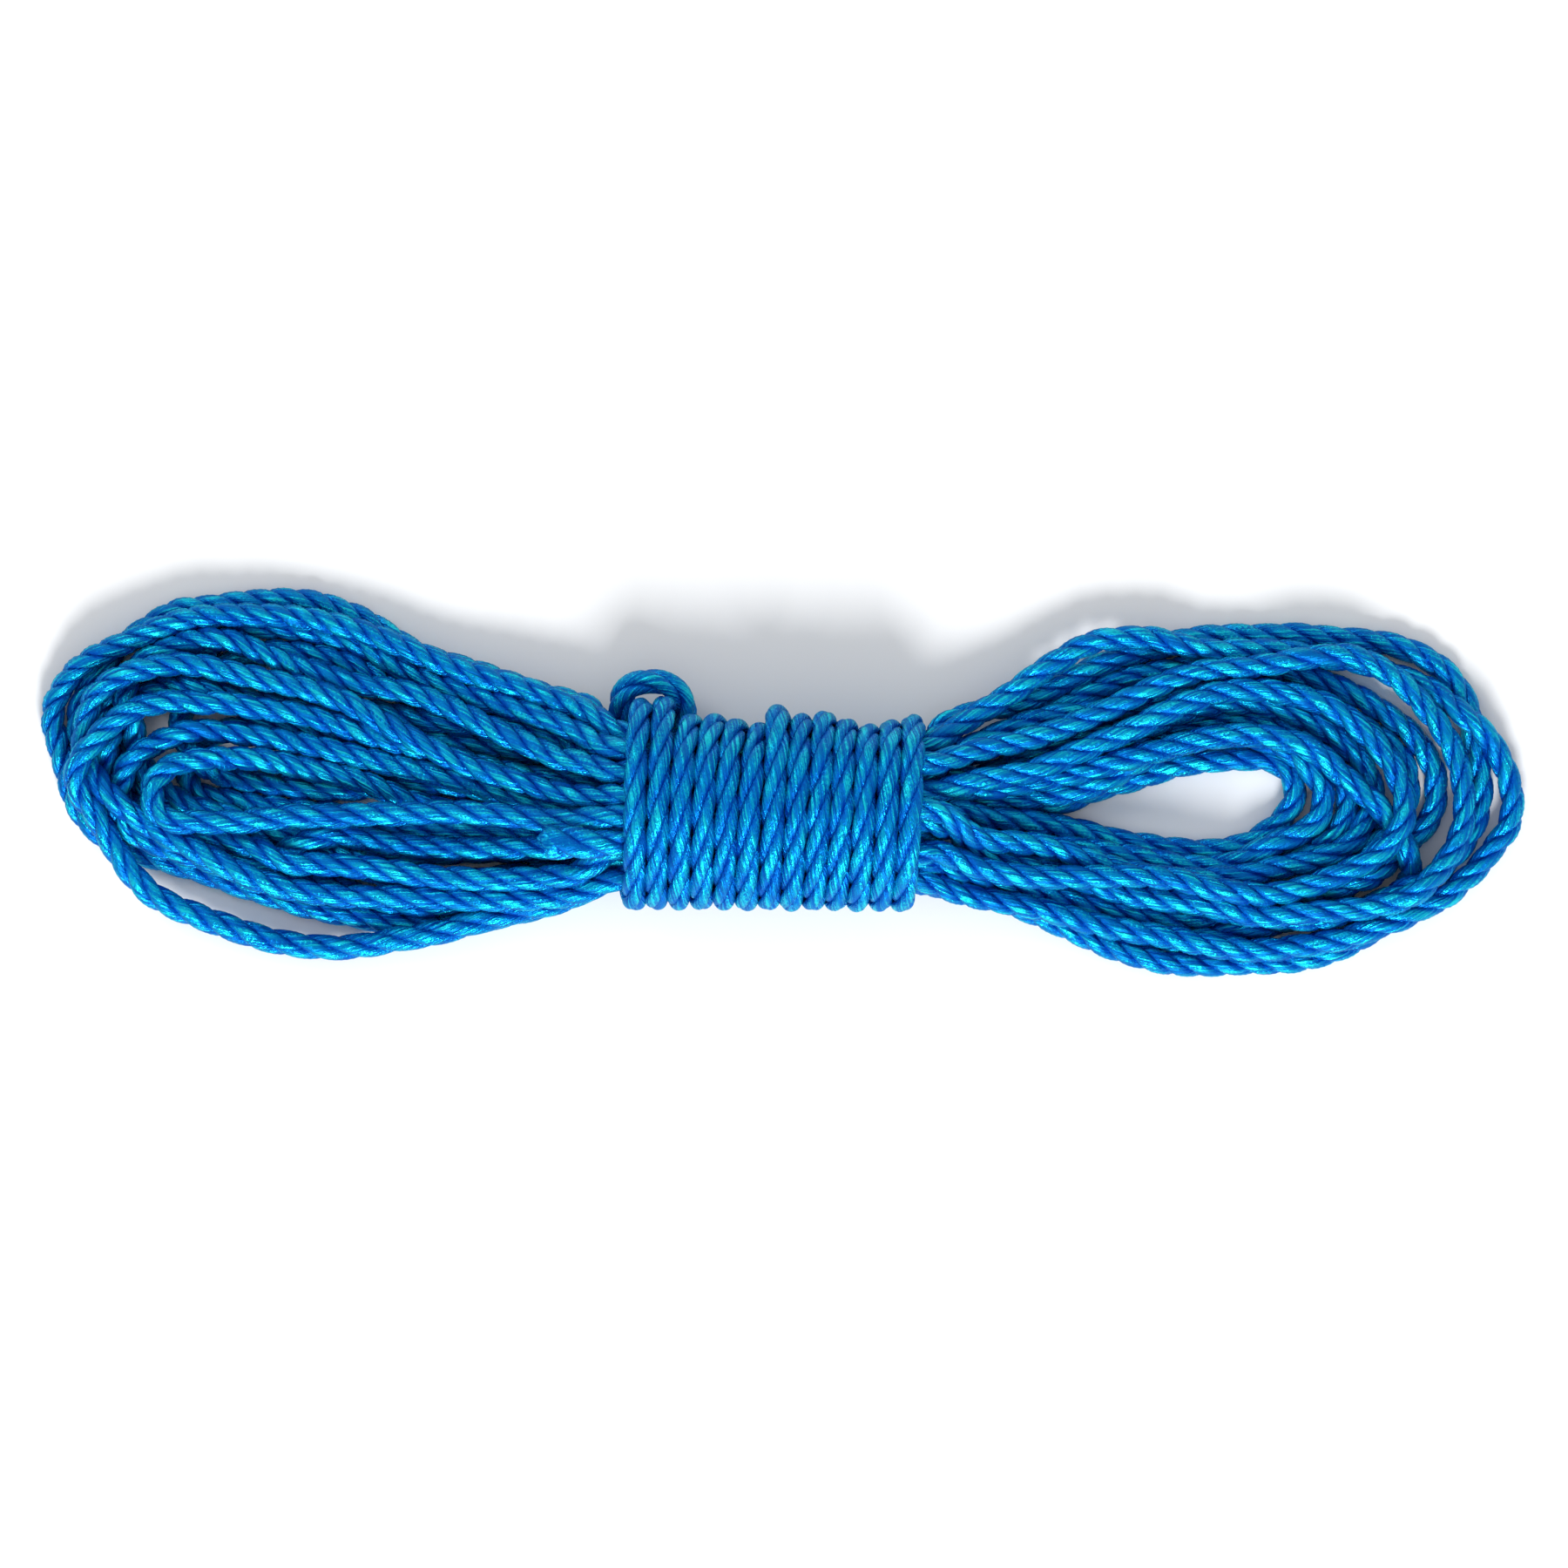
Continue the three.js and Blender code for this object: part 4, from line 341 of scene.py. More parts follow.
-13413 -1178 657 -13695 -1078 647 -13971 -961 645 -14244 -850 702 -14530 -772 740 -14823 -706 753 -15110 -621 750
-15386 -503 741 -15645 -354 720 -15897 -193 727 -16122 4 748 -16298 245 735 -16419 508 658 -16542 778 631
-16609 1055 715 -16611 1319 858 -16671 1585 974 -16800 1853 992 -16874 2131 913 -16833 2418 845 -16702 2687 838
-16532 2934 853 -16321 3143 828 -16066 3294 786 -15795 3421 767 -15515 3528 763 -15229 3617 770 -14934 3664 799
-14641 3673 858 -14344 3643 852 -14053 3589 814 -13771 3488 829 -13494 3377 858 -13221 3255 851 -12943 3147 817
-12661 3047 801 -12377 2949 797 -12092 2857 798 -11807 2764 807 -11520 2677 820 -11233 2594 839 -10945 2516 869
-10651 2459 896 -10356 2416 926 -10060 2378 959 -9766 2332 994 -9476 2265 1033 -9194 2172 1075 -8917 2066 1119
-8644 1951 1166 -8374 1829 1215 -8108 1702 1266 -7842 1573 1320 -7578 1442 1376 -7315 1312 1436 -7050 1186 1498
-6782 1068 1563 -6512 956 1632 -6244 843 1706 -5983 717 1784 -5718 606 1868 -5438 548 1959 -5158 506 2057
-4891 441 2177 -4647 337 2317 -4371 276 2415 -4092 265 2523 -3802 268 2598 -3515 270 2687 -3230 245 2775
-2940 200 2838 -2645 162 2876 -2347 135 2896 -2047 135 2898 -1748 147 2902 -1448 149 2896 -1148 154 2898
-849 167 2905 -550 170 2887 -251 178 2862 47 206 2837 344 231 2814 644 253 2808 943 265 2794 1243 268 2801
1542 263 2785 1839 300 2792 2138 315 2774 2437 343 2766 2736 356 2747 3012 448 2681 3309 457 2655 3601 454 2589
3873 496 2472 4129 571 2333 4380 659 2195 4644 742 2080 4917 821 1984 5196 889 1899 5481 942 1821 5769 991 1751
6055 1051 1685 6339 1126 1624 6621 1211 1567 6901 1304 1514 7179 1405 1464 7455 1513 1418 7729 1628 1374
8002 1746 1334 8274 1866 1296 8545 1990 1262 8816 2114 1230 9086 2241 1200 9355 2372 1174 9626 2499 1150
9904 2609 1129 10188 2702 1111 10477 2781 1097 10771 2840 1086 11068 2880 1078 11367 2905 1076 11666 2926 1078
11965 2952 1084 12262 2986 1102 12557 3033 1130 12851 3092 1150 13145 3147 1145 13441 3188 1119 13737 3223 1083
14033 3251 1042 14330 3255 1007 14622 3196 981 14899 3081 965 15170 2953 954 15429 2802 945 15673 2628 937
15899 2432 922 16110 2219 901 16313 2000 886 16509 1772 878 16691 1534 873 16858 1285 872 17009 1026 873
17135 754 879 17234 471 887 17311 182 898 17355 -115 913 17386 -413 931 17401 -711 953 17367 -1008 980
17286 -1295 1010 17180 -1573 1046 17031 -1829 1090 16860 -2070 1142 16678 -2296 1216 16484 -2496 1326
16271 -2690 1406 16029 -2865 1389 15765 -2993 1328 15484 -3080 1271 15193 -3149 1244 14899 -3205 1237
14602 -3246 1243 14303 -3269 1262 14006 -3288 1299 13710 -3306 1338 13413 -3326 1378 13115 -3352 1399
12817 -3385 1389 12519 -3415 1367 12222 -3432 1340 11925 -3395 1333 11637 -3313 1358 11352 -3227 1388
11060 -3158 1377 10765 -3109 1358 10475 -3067 1296 10180 -3037 1250 9882 -3017 1221 9584 -2988 1202 9288 -2946 1189
8992 -2897 1184 8699 -2833 1183 8410 -2752 1181 8125 -2659 1184 7842 -2562 1197 7557 -2470 1213 7268 -2390 1235
6979 -2318 1267 6688 -2253 1305 6397 -2191 1344 6107 -2130 1389 5819 -2063 1439 5534 -1988 1496 5256 -1898 1562
4994 -1780 1645 4757 -1620 1736 4539 -1441 1836 4342 -1273 1986 4136 -1163 2173 3914 -1095 2362 3655 -1007 2484
3368 -937 2530 3071 -892 2524 2773 -864 2518 2473 -851 2510 2173 -853 2510 1874 -853 2498 1574 -848 2483
1275 -843 2466 976 -849 2445 676 -860 2438 376 -873 2440 77 -885 2448 -223 -881 2467 -522 -886 2487 -822 -894 2495
-1121 -910 2496 -1421 -917 2494 -1721 -924 2492 -2020 -934 2481 -2320 -932 2466 -2619 -927 2445 -2916 -924 2407
-3214 -920 2368 -3510 -889 2335 -3805 -848 2310 -4101 -814 2278 -4384 -814 2184 -4644 -907 2073 -4888 -1066 2001
-5098 -1259 1914 -5293 -1461 1808 -5531 -1611 1709 -5812 -1660 1622 -6102 -1664 1544 -6394 -1668 1477
-6688 -1676 1420 -6984 -1684 1368 -7280 -1692 1321 -7576 -1700 1277 -7874 -1707 1237 -8171 -1708 1200
-8469 -1700 1166 -8767 -1686 1136 -9066 -1668 1109 -9364 -1647 1086 -9662 -1620 1067 -9960 -1585 1053
-10256 -1541 1046 -10550 -1483 1045 -10843 -1416 1051 -11139 -1372 1070 -11435 -1361 1112 -11730 -1397 1149
-12020 -1472 1148 -12303 -1559 1099 -12566 -1658 997 -12783 -1818 867 -13034 -1974 825 -13314 -2080 835
-13612 -2109 846 -13912 -2116 847 -14211 -2108 832 -14508 -2068 816 -14798 -1993 811 -15082 -1896 814
-15367 -1804 815 -15655 -1720 819 -15940 -1627 833 -16218 -1518 859 -16483 -1382 889 -16724 -1204 913 -16909 -974 957
-17010 -696 995 -17008 -399 1018 -16946 -106 1040 -16877 184 1068 -16755 447 1135 -16553 661 1184 -16315 834 1141
-16057 978 1116 -15798 1104 1194 -15532 1212 1275 -15243 1287 1263 -14969 1311 1151 -14699 1306 1025 -14406 1296 961
-14111 1263 918 -13816 1222 883 -13521 1178 857 -13224 1136 837 -12928 1091 822 -12633 1036 814 -12339 980 811
-12044 924 812 -11751 859 815 -11459 790 823 -11167 722 832 -10876 652 844 -10585 581 859 -10294 510 876
-10004 436 896 -9713 365 917 -9421 300 941 -9130 233 966 -8839 164 994 -8549 96 1023 -8258 30 1053 -7967 -37 1083
-7678 -110 1116 -7392 -194 1153 -7108 -281 1194 -6822 -358 1239 -6533 -424 1287 -6244 -485 1341 -5955 -538 1400
-5666 -578 1471 -5380 -596 1557 -5092 -568 1636 -4815 -483 1709 -4545 -392 1803 -4290 -320 1942 -4041 -288 2105
-3766 -303 2218 -3473 -292 2275 -3181 -232 2304 -2886 -192 2280 -2591 -197 2230 -2293 -211 2202 -1994 -226 2184
-1695 -249 2160 -1397 -276 2147 -1099 -307 2132 -800 -331 2118 -501 -343 2102 -201 -344 2090 98 -350 2072
397 -363 2061 697 -380 2056 996 -396 2049 1295 -415 2059 1595 -438 2061 1893 -465 2060 2193 -464 2072 2492 -439 2066
2786 -389 2044 3075 -330 1989 3362 -275 1921 3652 -220 1865 3937 -171 1785 4223 -149 1699 4516 -152 1633
4809 -153 1571 5102 -148 1509 5396 -136 1448 5687 -95 1390 5976 -33 1337 6267 22 1295 6562 69 1266 6857 121 1252
7152 177 1243 7445 240 1236 7736 313 1235 8024 395 1247 8311 480 1269 8601 555 1281 8892 626 1271 9181 702 1244
9469 783 1220 9757 867 1211 10044 954 1215 10332 1032 1240 10624 1089 1276 10921 1131 1287 11218 1169 1275
11516 1198 1253 11815 1208 1232 12114 1189 1217 12410 1146 1203 12705 1093 1197 12997 1025 1195 13278 925 1164
13538 790 1102 13774 622 1027 13996 430 961 14217 232 921 14442 36 891 14673 -154 871 14896 -350 901 15120 -545 946
15325 -757 913 15487 -1002 857 15666 -1239 820 15821 -1491 847 15938 -1764 831 16025 -2022 709 16038 -2241 509
16016 -2493 352 15983 -2785 302 15873 -3061 299 15673 -3283 300 15457 -3491 300 15234 -3691 300 14997 -3875 300
14744 -4036 300 14478 -4174 300 14202 -4292 300 13920 -4394 300 13632 -4478 300 13338 -4539 300 13042 -4587 300
12744 -4616 300 12444 -4626 300 12144 -4634 300 11844 -4636 300 11544 -4648 300 11245 -4669 300 10946 -4682 312
10647 -4685 335 10348 -4677 366 10052 -4660 410 9763 -4623 478 9475 -4564 538 9186 -4487 564 8898 -4406 576
8611 -4318 587 8329 -4218 606 8052 -4105 626 7778 -3983 646 7507 -3856 661 7236 -3728 673 6964 -3603 688
6691 -3480 707 6416 -3361 728 6139 -3250 749 5858 -3145 770 5580 -3036 794 5301 -2927 813 5020 -2828 845
4733 -2752 887 4443 -2695 942 4152 -2662 1004 3862 -2647 1078 3582 -2606 1176 3339 -2492 1308 3097 -2369 1436
2820 -2300 1522 2523 -2301 1559 2224 -2310 1580 1924 -2303 1590 1624 -2302 1595 1324 -2298 1594 1024 -2301 1598
724 -2296 1598 424 -2300 1597 124 -2295 1594 -176 -2297 1589 -475 -2293 1581 -775 -2298 1571 -1075 -2295 1560
-1375 -2296 1552 -1674 -2287 1542 -1974 -2289 1525 -2273 -2283 1511 -2573 -2283 1496 -2873 -2290 1487
-3172 -2294 1470 -3463 -2313 1415 -3742 -2346 1321 -4032 -2337 1252 -4309 -2401 1155 -4573 -2505 1059 -4832 -2639 990
-5093 -2776 937 -5360 -2906 898 -5635 -3024 875 -5923 -3106 862 -6217 -3166 858 -6511 -3226 860 -6802 -3299 866
-7092 -3377 870 -7382 -3453 873 -7672 -3526 874 -7963 -3603 873 -8252 -3683 870 -8541 -3763 861 -8831 -3835 842
-9123 -3898 813 -9417 -3949 781 -9712 -3992 748 -10006 -4037 710 -10299 -4094 678 -10592 -4151 657 -10889 -4189 642
-11188 -4214 631 -11488 -4227 625 -11788 -4223 623 -12087 -4201 625 -12385 -4171 630 -12682 -4130 638
-12977 -4076 648 -13269 -4007 661 -13556 -3922 676 -13841 -3830 694 -14126 -3737 713 -14408 -3640 734
-14688 -3534 757 -14968 -3428 782 -15247 -3322 810 -15523 -3208 840 -15792 -3079 872 -16048 -2928 907
-16283 -2745 943 -16494 -2536 982 -16684 -2307 1022 -16855 -2064 1064 -17010 -1812 1109 -17155 -1553 1156
-17302 -1298 1213 -17443 -1040 1270 -17591 -781 1306 -17775 -552 1364 -17935 -310 1440 -18028 -36 1515
-18034 253 1591 -17945 533 1642 -17777 779 1648 -17583 1001 1592 -17399 1226 1522 -17192 1440 1501 -16955 1622 1531
-16702 1777 1528 -16436 1894 1453 -16157 1975 1381 -15867 2037 1335 -15572 2072 1299 -15273 2066 1277
-14975 2033 1277 -14677 2021 1249 -14389 2028 1165 -14096 2002 1107 -13804 1952 1064 -13510 1907 1026 -13215 1865 992
-12919 1825 963 -12622 1785 942 -12327 1736 921 -12035 1671 899 -11747 1590 875 -11462 1497 859 -11178 1402 850
-10892 1312 845 -10604 1227 848 -10317 1141 863 -10033 1045 868 -9747 955 857 -9458 880 837 -9167 807 815
-8878 729 803 -8590 648 797 -8301 567 798 -8011 489 805 -7722 412 820 -7431 339 838 -7140 272 860 -6847 211 886
-6554 154 917 -6262 100 955 -5968 62 1004 -5674 42 1060 -5380 34 1117 -5086 28 1177 -4794 2 1238 -4504 -25 1307
-4237 -5 1436 -4003 32 1620 -3742 53 1765 -3453 45 1837 -3160 -8 1807 -2882 -90 1729 -2601 -172 1668 -2313 -244 1625
-2015 -277 1635 -1720 -317 1605 -1424 -357 1580 -1126 -387 1560 -827 -406 1545 -527 -420 1533 -228 -427 1520
72 -439 1512 371 -457 1505 671 -473 1500 970 -482 1491 1270 -492 1485 1570 -503 1474 1869 -504 1467 2169 -500 1463
2469 -491 1469 2767 -464 1483 3058 -420 1432 3349 -385 1378 3644 -367 1329 3923 -350 1223 4187 -350 1080
4457 -393 959 4740 -439 873 5034 -451 814 5332 -436 784 5631 -416 767 5930 -402 757 6229 -384 763 6528 -360 780
6826 -333 803 7123 -297 828 7418 -245 845 7707 -168 852 7987 -61 849 8258 66 832 8521 208 801 8779 354 760
9039 497 712 9304 631 669 9575 755 643 9852 872 635 10132 977 649 10414 1071 686 10704 1145 714 11001 1180 713
11300 1191 693 11599 1187 670 11898 1166 653 12192 1112 642 12480 1027 635 12758 916 650 13016 765 670 13232 559 690
13432 338 663 13625 119 596 13769 -140 558 13817 -434 540 13773 -729 534 13629 -991 540 13410 -1193 560
13151 -1340 593 12880 -1456 649 12610 -1558 730 12334 -1663 782 12066 -1797 793 11800 -1932 770 11528 -2052 727
11242 -2137 703 10945 -2174 693 10645 -2174 690 10346 -2151 692 10049 -2109 704 9754 -2057 715 9459 -2005 720
9163 -1954 725 8868 -1903 730 8572 -1854 734 8275 -1808 742 7979 -1762 750 7682 -1721 758 7384 -1686 766
7086 -1657 773 6787 -1633 783 6488 -1609 795 6191 -1569 801 5893 -1533 811 5596 -1491 820 5302 -1438 832
5016 -1354 869 4763 -1205 928 4543 -1029 1027 4318 -914 1186 4066 -877 1343 3779 -889 1423 3482 -909 1455
3185 -953 1453 2891 -993 1412 2595 -1021 1381 2295 -1040 1381 1996 -1049 1378 1696 -1054 1373 1396 -1048 1363
1097 -1038 1349 797 -1033 1349 497 -1031 1350 197 -1021 1353 -102 -1004 1358 -402 -988 1366 -701 -975 1379
-1000 -963 1400 -1299 -945 1404 -1599 -926 1410 -1898 -907 1424 -2196 -881 1422 -2493 -839 1414 -2778 -754 1397
-3008 -565 1363 -3244 -380 1369 -3456 -173 1326 -3627 47 1216 -3811 243 1083 -3885 480 923 -3934 760 833
-3986 1044 753 -4053 1333 724 -4130 1603 819 -4183 1849 982 -4159 2107 1127 -4015 2347 1226 -3775 2514 1287
-3487 2586 1315 -3190 2558 1309 -2917 2445 1266 -2690 2269 1189 -2555 2018 1100 -2529 1730 1031 -2619 1453 964
-2743 1180 958 -2871 909 944 -3034 659 914 -3200 417 854 -3401 250 710 -3544 107 491 -3667 -110 332 -3754 -391 293
-3771 -689 300 -3751 -989 300 -3735 -1288 300 -3732 -1588 299 -3763 -1886 304 -3790 -2176 365 -3832 -2411 545
-3891 -2623 748 -3889 -2803 987 -3861 -2895 1270 -3810 -2953 1560 -3799 -2964 1859 -3801 -2882 2146 -3800 -2722 2398
-3794 -2518 2618 -3786 -2293 2817 -3777 -2057 3001 -3762 -1826 3191 -3752 -1569 3345 -3752 -1276 3401 -3750 -986 3474
-3748 -688 3466 -3741 -393 3416 -3732 -96 3374 -3723 204 3358 -3716 484 3256 -3711 764 3151 -3706 1043 3041
-3685 1269 2846 -3665 1482 2636 -3648 1675 2407 -3631 1817 2145 -3614 1863 1851 -3602 1804 1558 -3613 1690 1282
-3556 1528 1037 -3468 1303 860 -3396 1085 667 -3306 884 464 -3169 653 334 -3055 379 300 -3036 81 300 -3108 -210 300
-3163 -504 300 -3185 -803 300 -3179 -1103 300 -3168 -1403 296 -3191 -1697 345 -3219 -1981 436 -3240 -2235 592
-3253 -2454 796 -3255 -2657 1017 -3255 -2821 1267 -3248 -2926 1547 -3238 -2961 1844 -3237 -2921 2141 -3237 -2800 2413
-3230 -2602 2637 -3219 -2369 2826 -3208 -2122 2996 -3195 -1866 3152 -3183 -1602 3294 -3176 -1324 3403
-3170 -1033 3474 -3159 -740 3527 -3148 -443 3486 -3138 -148 3433 -3126 149 3391 -3113 442 3337 -3101 703 3191
-3087 963 3041 -3078 1202 2860 -3070 1422 2657 -3061 1621 2433 -3051 1785 2183 -3043 1889 1902 -3043 1913 1604
-3073 1877 1308 -3082 1825 1013 -3064 1701 743 -3000 1507 525 -2883 1273 381 -2739 1020 313 -2594 757 297
-2483 480 300 -2454 183 300 -2506 -112 300 -2578 -403 300 -2628 -699 301 -2637 -998 322 -2632 -1297 335
-2644 -1583 424 -2667 -1874 493 -2683 -2139 631 -2688 -2389 797 -2688 -2613 995 -2686 -2780 1243 -2678 -2891 1521
-2670 -2947 1815 -2669 -2936 2114 -2668 -2830 2393 -2662 -2652 2634 -2654 -2438 2844 -2645 -2201 3027
-2634 -1946 3185 -2623 -1678 3318 -2615 -1400 3429 -2606 -1117 3530 -2598 -825 3593 -2585 -526 3577 -2571 -230 3537
-2558 68 3500 -2546 359 3431 -2523 610 3273 -2498 843 3085 -2472 1060 2880 -2444 1248 2648 -2412 1394 2389
-2374 1467 2101 -2333 1449 1806 -2283 1362 1524 -2212 1215 1273 -2186 1004 1062 -2182 757 894 -2136 496 754
-2041 217 705 -2010 -53 581 -2050 -343 519 -2075 -606 378 -2084 -900 332 -2083 -1199 361 -2097 -1496 394
-2114 -1776 501 -2124 -2060 595 -2128 -2303 770 -2128 -2539 954 -2124 -2741 1175 -2119 -2870 1445 -2109 -2946 1735
-2099 -2959 2034 -2091 -2898 2326 -2087 -2741 2580 -2081 -2543 2805 -2073 -2317 3001 -2064 -2068 3168
-2054 -1803 3308 -2044 -1526 3423 -2035 -1242 3518 -2027 -953 3597 -2017 -655 3621 -2003 -360 3570 -1989 -64 3523
-1977 230 3466 -1960 505 3351 -1931 732 3158 -1903 952 2955 -1874 1150 2733 -1841 1315 2484 -1805 1426 2210
-1764 1448 1914 -1715 1402 1623 -1662 1295 1348 -1640 1131 1099 -1625 928 879 -1622 697 688 -1579 461 509
-1544 193 379 -1523 -92 295 -1527 -392 300 -1522 -692 300 -1524 -992 302 -1527 -1290 335 -1536 -1579 413
-1546 -1861 514 -1551 -2136 632 -1555 -2370 820 -1553 -2595 1017 -1550 -2776 1255 -1544 -2889 1532 -1534 -2947 1826
-1524 -2943 2125 -1516 -2859 2411 -1511 -2689 2657 -1504 -2484 2876 -1496 -2252 3065 -1487 -1999 3225
-1477 -1730 3358 -1468 -1450 3464 -1459 -1162 3550 -1450 -869 3611 -1438 -571 3606 -1424 -277 3551 -1411 17 3492
-1400 307 3415 -1377 563 3267 -1347 787 3069 -1318 993 2854 -1288 1169 2613 -1254 1303 2347 -1215 1349 2055
-1170 1319 1761 -1124 1234 1477 -1094 1084 1220 -1077 871 1011 -1074 653 805 -1055 392 662 -1030 112 557
-1004 -169 456 -989 -464 403 -984 -754 330 -985 -1052 352 -987 -1350 381 -992 -1638 465 -995 -1929 534 -998 -2194 673
-997 -2418 872 -992 -2635 1079 -986 -2809 1322 -976 -2917 1601 -967 -2972 1895 -955 -2972 2194 -947 -2871 2475
-942 -2694 2717 -935 -2483 2929 -928 -2246 3113 -920 -1988 3266 -912 -1716 3390 -904 -1432 3486 -894 -1140 3557
-884 -845 3608 -869 -546 3597 -848 -251 3549 -822 42 3489 -794 332 3422 -772 583 3262 -746 764 3025 -703 934 2782
-659 1110 2543 -620 1224 2270 -587 1238 1973 -564 1209 1676 -549 1145 1383 -526 988 1130 -513 787 908 -513 578 693
-497 313 556 -480 44 426 -463 -243 344 -449 -540 304 -439 -840 296 -436 -1137 335 -436 -1433 381 -438 -1717 475
-439 -2003 564 -440 -2255 723 -438 -2476 926 -433 -2682 1144 -426 -2833 1402 -416 -2927 1686 -405 -2961 1983
-392 -2934 2281 -380 -2813 2554 -367 -2611 2774 -353 -2381 2965 -339 -2131 3130 -324 -1864 3267 -309 -1586 3378
-294 -1300 3466 -278 -1008 3535 -266 -715 3593 -249 -419 3552 -233 -124 3501 -215 169 3443 -198 457 3358
-181 728 3232 -172 989 3085 -171 1234 2912 -177 1443 2698 -174 1604 2445 -189 1672 2155 -172 1681 1856 -130 1612 1569
-74 1477 1308 -28 1291 1077 -2 1069 878 18 822 708 35 558 567 53 281 456 72 -3 361 88 -298 308 102 -597 299
113 -897 297 120 -1194 331 126 -1490 376 131 -1772 477 132 -2054 578 133 -2299 747 136 -2511 959 142 -2708 1185
150 -2863 1441 159 -2958 1724 171 -2984 2022 183 -2937 2318 196 -2799 2582 211 -2588 2794 226 -2359 2987
241 -2107 3148 253 -1831 3264 268 -1549 3365 283 -1262 3452 299 -974 3534 312 -678 3569 328 -385 3509 344 -90 3459
362 205 3409 379 485 3307 388 723 3125 398 950 2929 410 1156 2712 425 1327 2467 443 1438 2190 463 1462 1893
485 1396 1602 506 1253 1340 527 1056 1115 553 831 919 578 596 735 597 330 599 616 50 494 634 -236 403 648 -530 347
660 -826 303 671 -1121 347 679 -1420 373 684 -1705 464 687 -1990 558 691 -2251 704 697 -2463 916 705 -2663 1139
714 -2830 1388 725 -2939 1666 737 -2979 1962 750 -2939 2259 765 -2825 2534 780 -2624 2756 796 -2407 2962
810 -2170 3143 823 -1886 3240 838 -1602 3333 853 -1313 3413 869 -1023 3487 882 -729 3538 900 -433 3494 916 -138 3445
935 159 3402 951 448 3336 961 701 3177 970 929 2981 982 1145 2773 996 1332 2540 1011 1470 2275 1027 1535 1984
1044 1509 1687 1061 1399 1409 1075 1233 1160 1096 1026 944 1118 792 759 1135 537 601 1150 263 482 1164 -19 380
1177 -313 330 1190 -612 305 1205 -911 297 1221 -1210 321 1232 -1505 372 1238 -1786 475 1243 -2067 579 1251 -2308 753
1260 -2519 966 1270 -2716 1193 1281 -2867 1450 1294 -2957 1736 1306 -2978 2034 1319 -2933 2329 1334 -2791 2592
1349 -2593 2816 1364 -2376 3021 1378 -2117 3171 1392 -1843 3293 1406 -1562 3395 1421 -1274 3478 1438 -984 3554
1454 -687 3587 1466 -393 3531 1480 -100 3468 1495 191 3399 1509 477 3312 1520 716 3133 1533 927 2920 1547 1114 2686
1562 1257 2423 1576 1332 2134 1591 1333 1836 1603 1251 1548 1612 1106 1286 1632 918 1053 1664 707 843 1686 471 660
1698 201 531 1707 -79 426 1718 -368 355 1732 -665 326 1752 -962 314 1773 -1259 343 1786 -1552 396 1793 -1835 493
1798 -2114 602 1807 -2352 781 1818 -2558 998 1829 -2746 1232 1840 -2885 1497 1853 -2969 1784 1865 -2997 2082
1879 -2937 2373 1896 -2787 2632 1912 -2590 2857 1928 -2365 3054 1943 -2116 3220 1959 -1849 3356 1975 -1569 3463
1991 -1280 3540 2008 -985 3592 2025 -686 3609 2038 -389 3577 2052 -96 3516 2066 193 3434 2078 477 3341 2090 722 3171
2105 902 2932 2120 1049 2672 2134 1162 2395 2148 1196 2098 2160 1175 1799 2169 1114 1506 2182 965 1248 2210 773 1020
2236 587 786 2252 349 607 2261 72 493 2270 -208 388 2278 -505 349 2295 -801 309 2319 -1099 326 2340 -1397 335
2356 -1681 424 2364 -1967 513 2370 -2228 658 2379 -2446 863 2387 -2649 1084 2394 -2815 1333 2411 -2927 1610
2430 -2985 1903 2443 -2982 2202 2460 -2878 2481 2477 -2714 2732 2493 -2512 2953 2509 -2280 3142 2524 -2025 3299
2540 -1753 3424 2556 -1469 3517 2573 -1176 3580 2590 -879 3614 2606 -580 3619 2619 -284 3571 2632 7 3500
2646 292 3408 2658 568 3292 2670 797 3101 2686 974 2859 2699 1128 2602 2710 1240 2325 2716 1296 2031 2718 1300 1731
2708 1262 1434 2699 1146 1159 2726 963 924 2764 728 742 2776 498 551 2789 232 413 2794 -47 305 2815 -345 299
2824 -645 300 2851 -944 300 2877 -1243 297 2900 -1538 341 2902 -1834 388 2898 -2118 481 2910 -2355 662 2917 -2577 863
2917 -2782 1081 2935 -2913 1348 2965 -2975 1640 2988 -3007 1937 3009 -2971 2232 3032 -2843 2501 3051 -2667 2743
3068 -2463 2962 3085 -2230 3150 3101 -1974 3305 3118 -1700 3426 3134 -1414 3514 3150 -1120 3571 3166 -822 3595
3182 -523 3581 3198 -228 3529 3213 60 3447 3229 339 3339 3244 609 3208 3257 849 3033 3266 1028 2793 3275 1183 2536
3283 1314 2267 3289 1413 1984 3275 1434 1686 3255 1402 1389 3233 1328 1100 3255 1177 843 3304 957 646 3321 727 455
3342 458 326 3337 160 300 3361 -139 300 3374 -438 300 3394 -737 303 3487 -1018 345 3582 -1284 442 3682 -1482 639
3760 -1544 918 3791 -1500 1212 3767 -1439 1504 3670 -1404 1782 3469 -1396 2004 3221 -1394 2170 2943 -1394 2283
2647 -1396 2326 2348 -1400 2355 2051 -1416 2393 1752 -1421 2420 1453 -1414 2445 1156 -1410 2482 860 -1408 2533
565 -1404 2586 270 -1399 2639 -25 -1394 2693 -319 -1395 2752 -618 -1398 2772 -918 -1401 2776 -1217 -1406 2790
-1517 -1406 2799 -1817 -1409 2805 -2117 -1409 2803 -2417 -1408 2797 -2717 -1416 2785 -3016 -1418 2763
-3316 -1418 2761 -3615 -1425 2760 -3913 -1459 2776 -4194 -1547 2829 -4491 -1558 2856 -4791 -1553 2863
-5091 -1546 2857 -5390 -1538 2840 -5688 -1527 2805 -5984 -1514 2757
"""

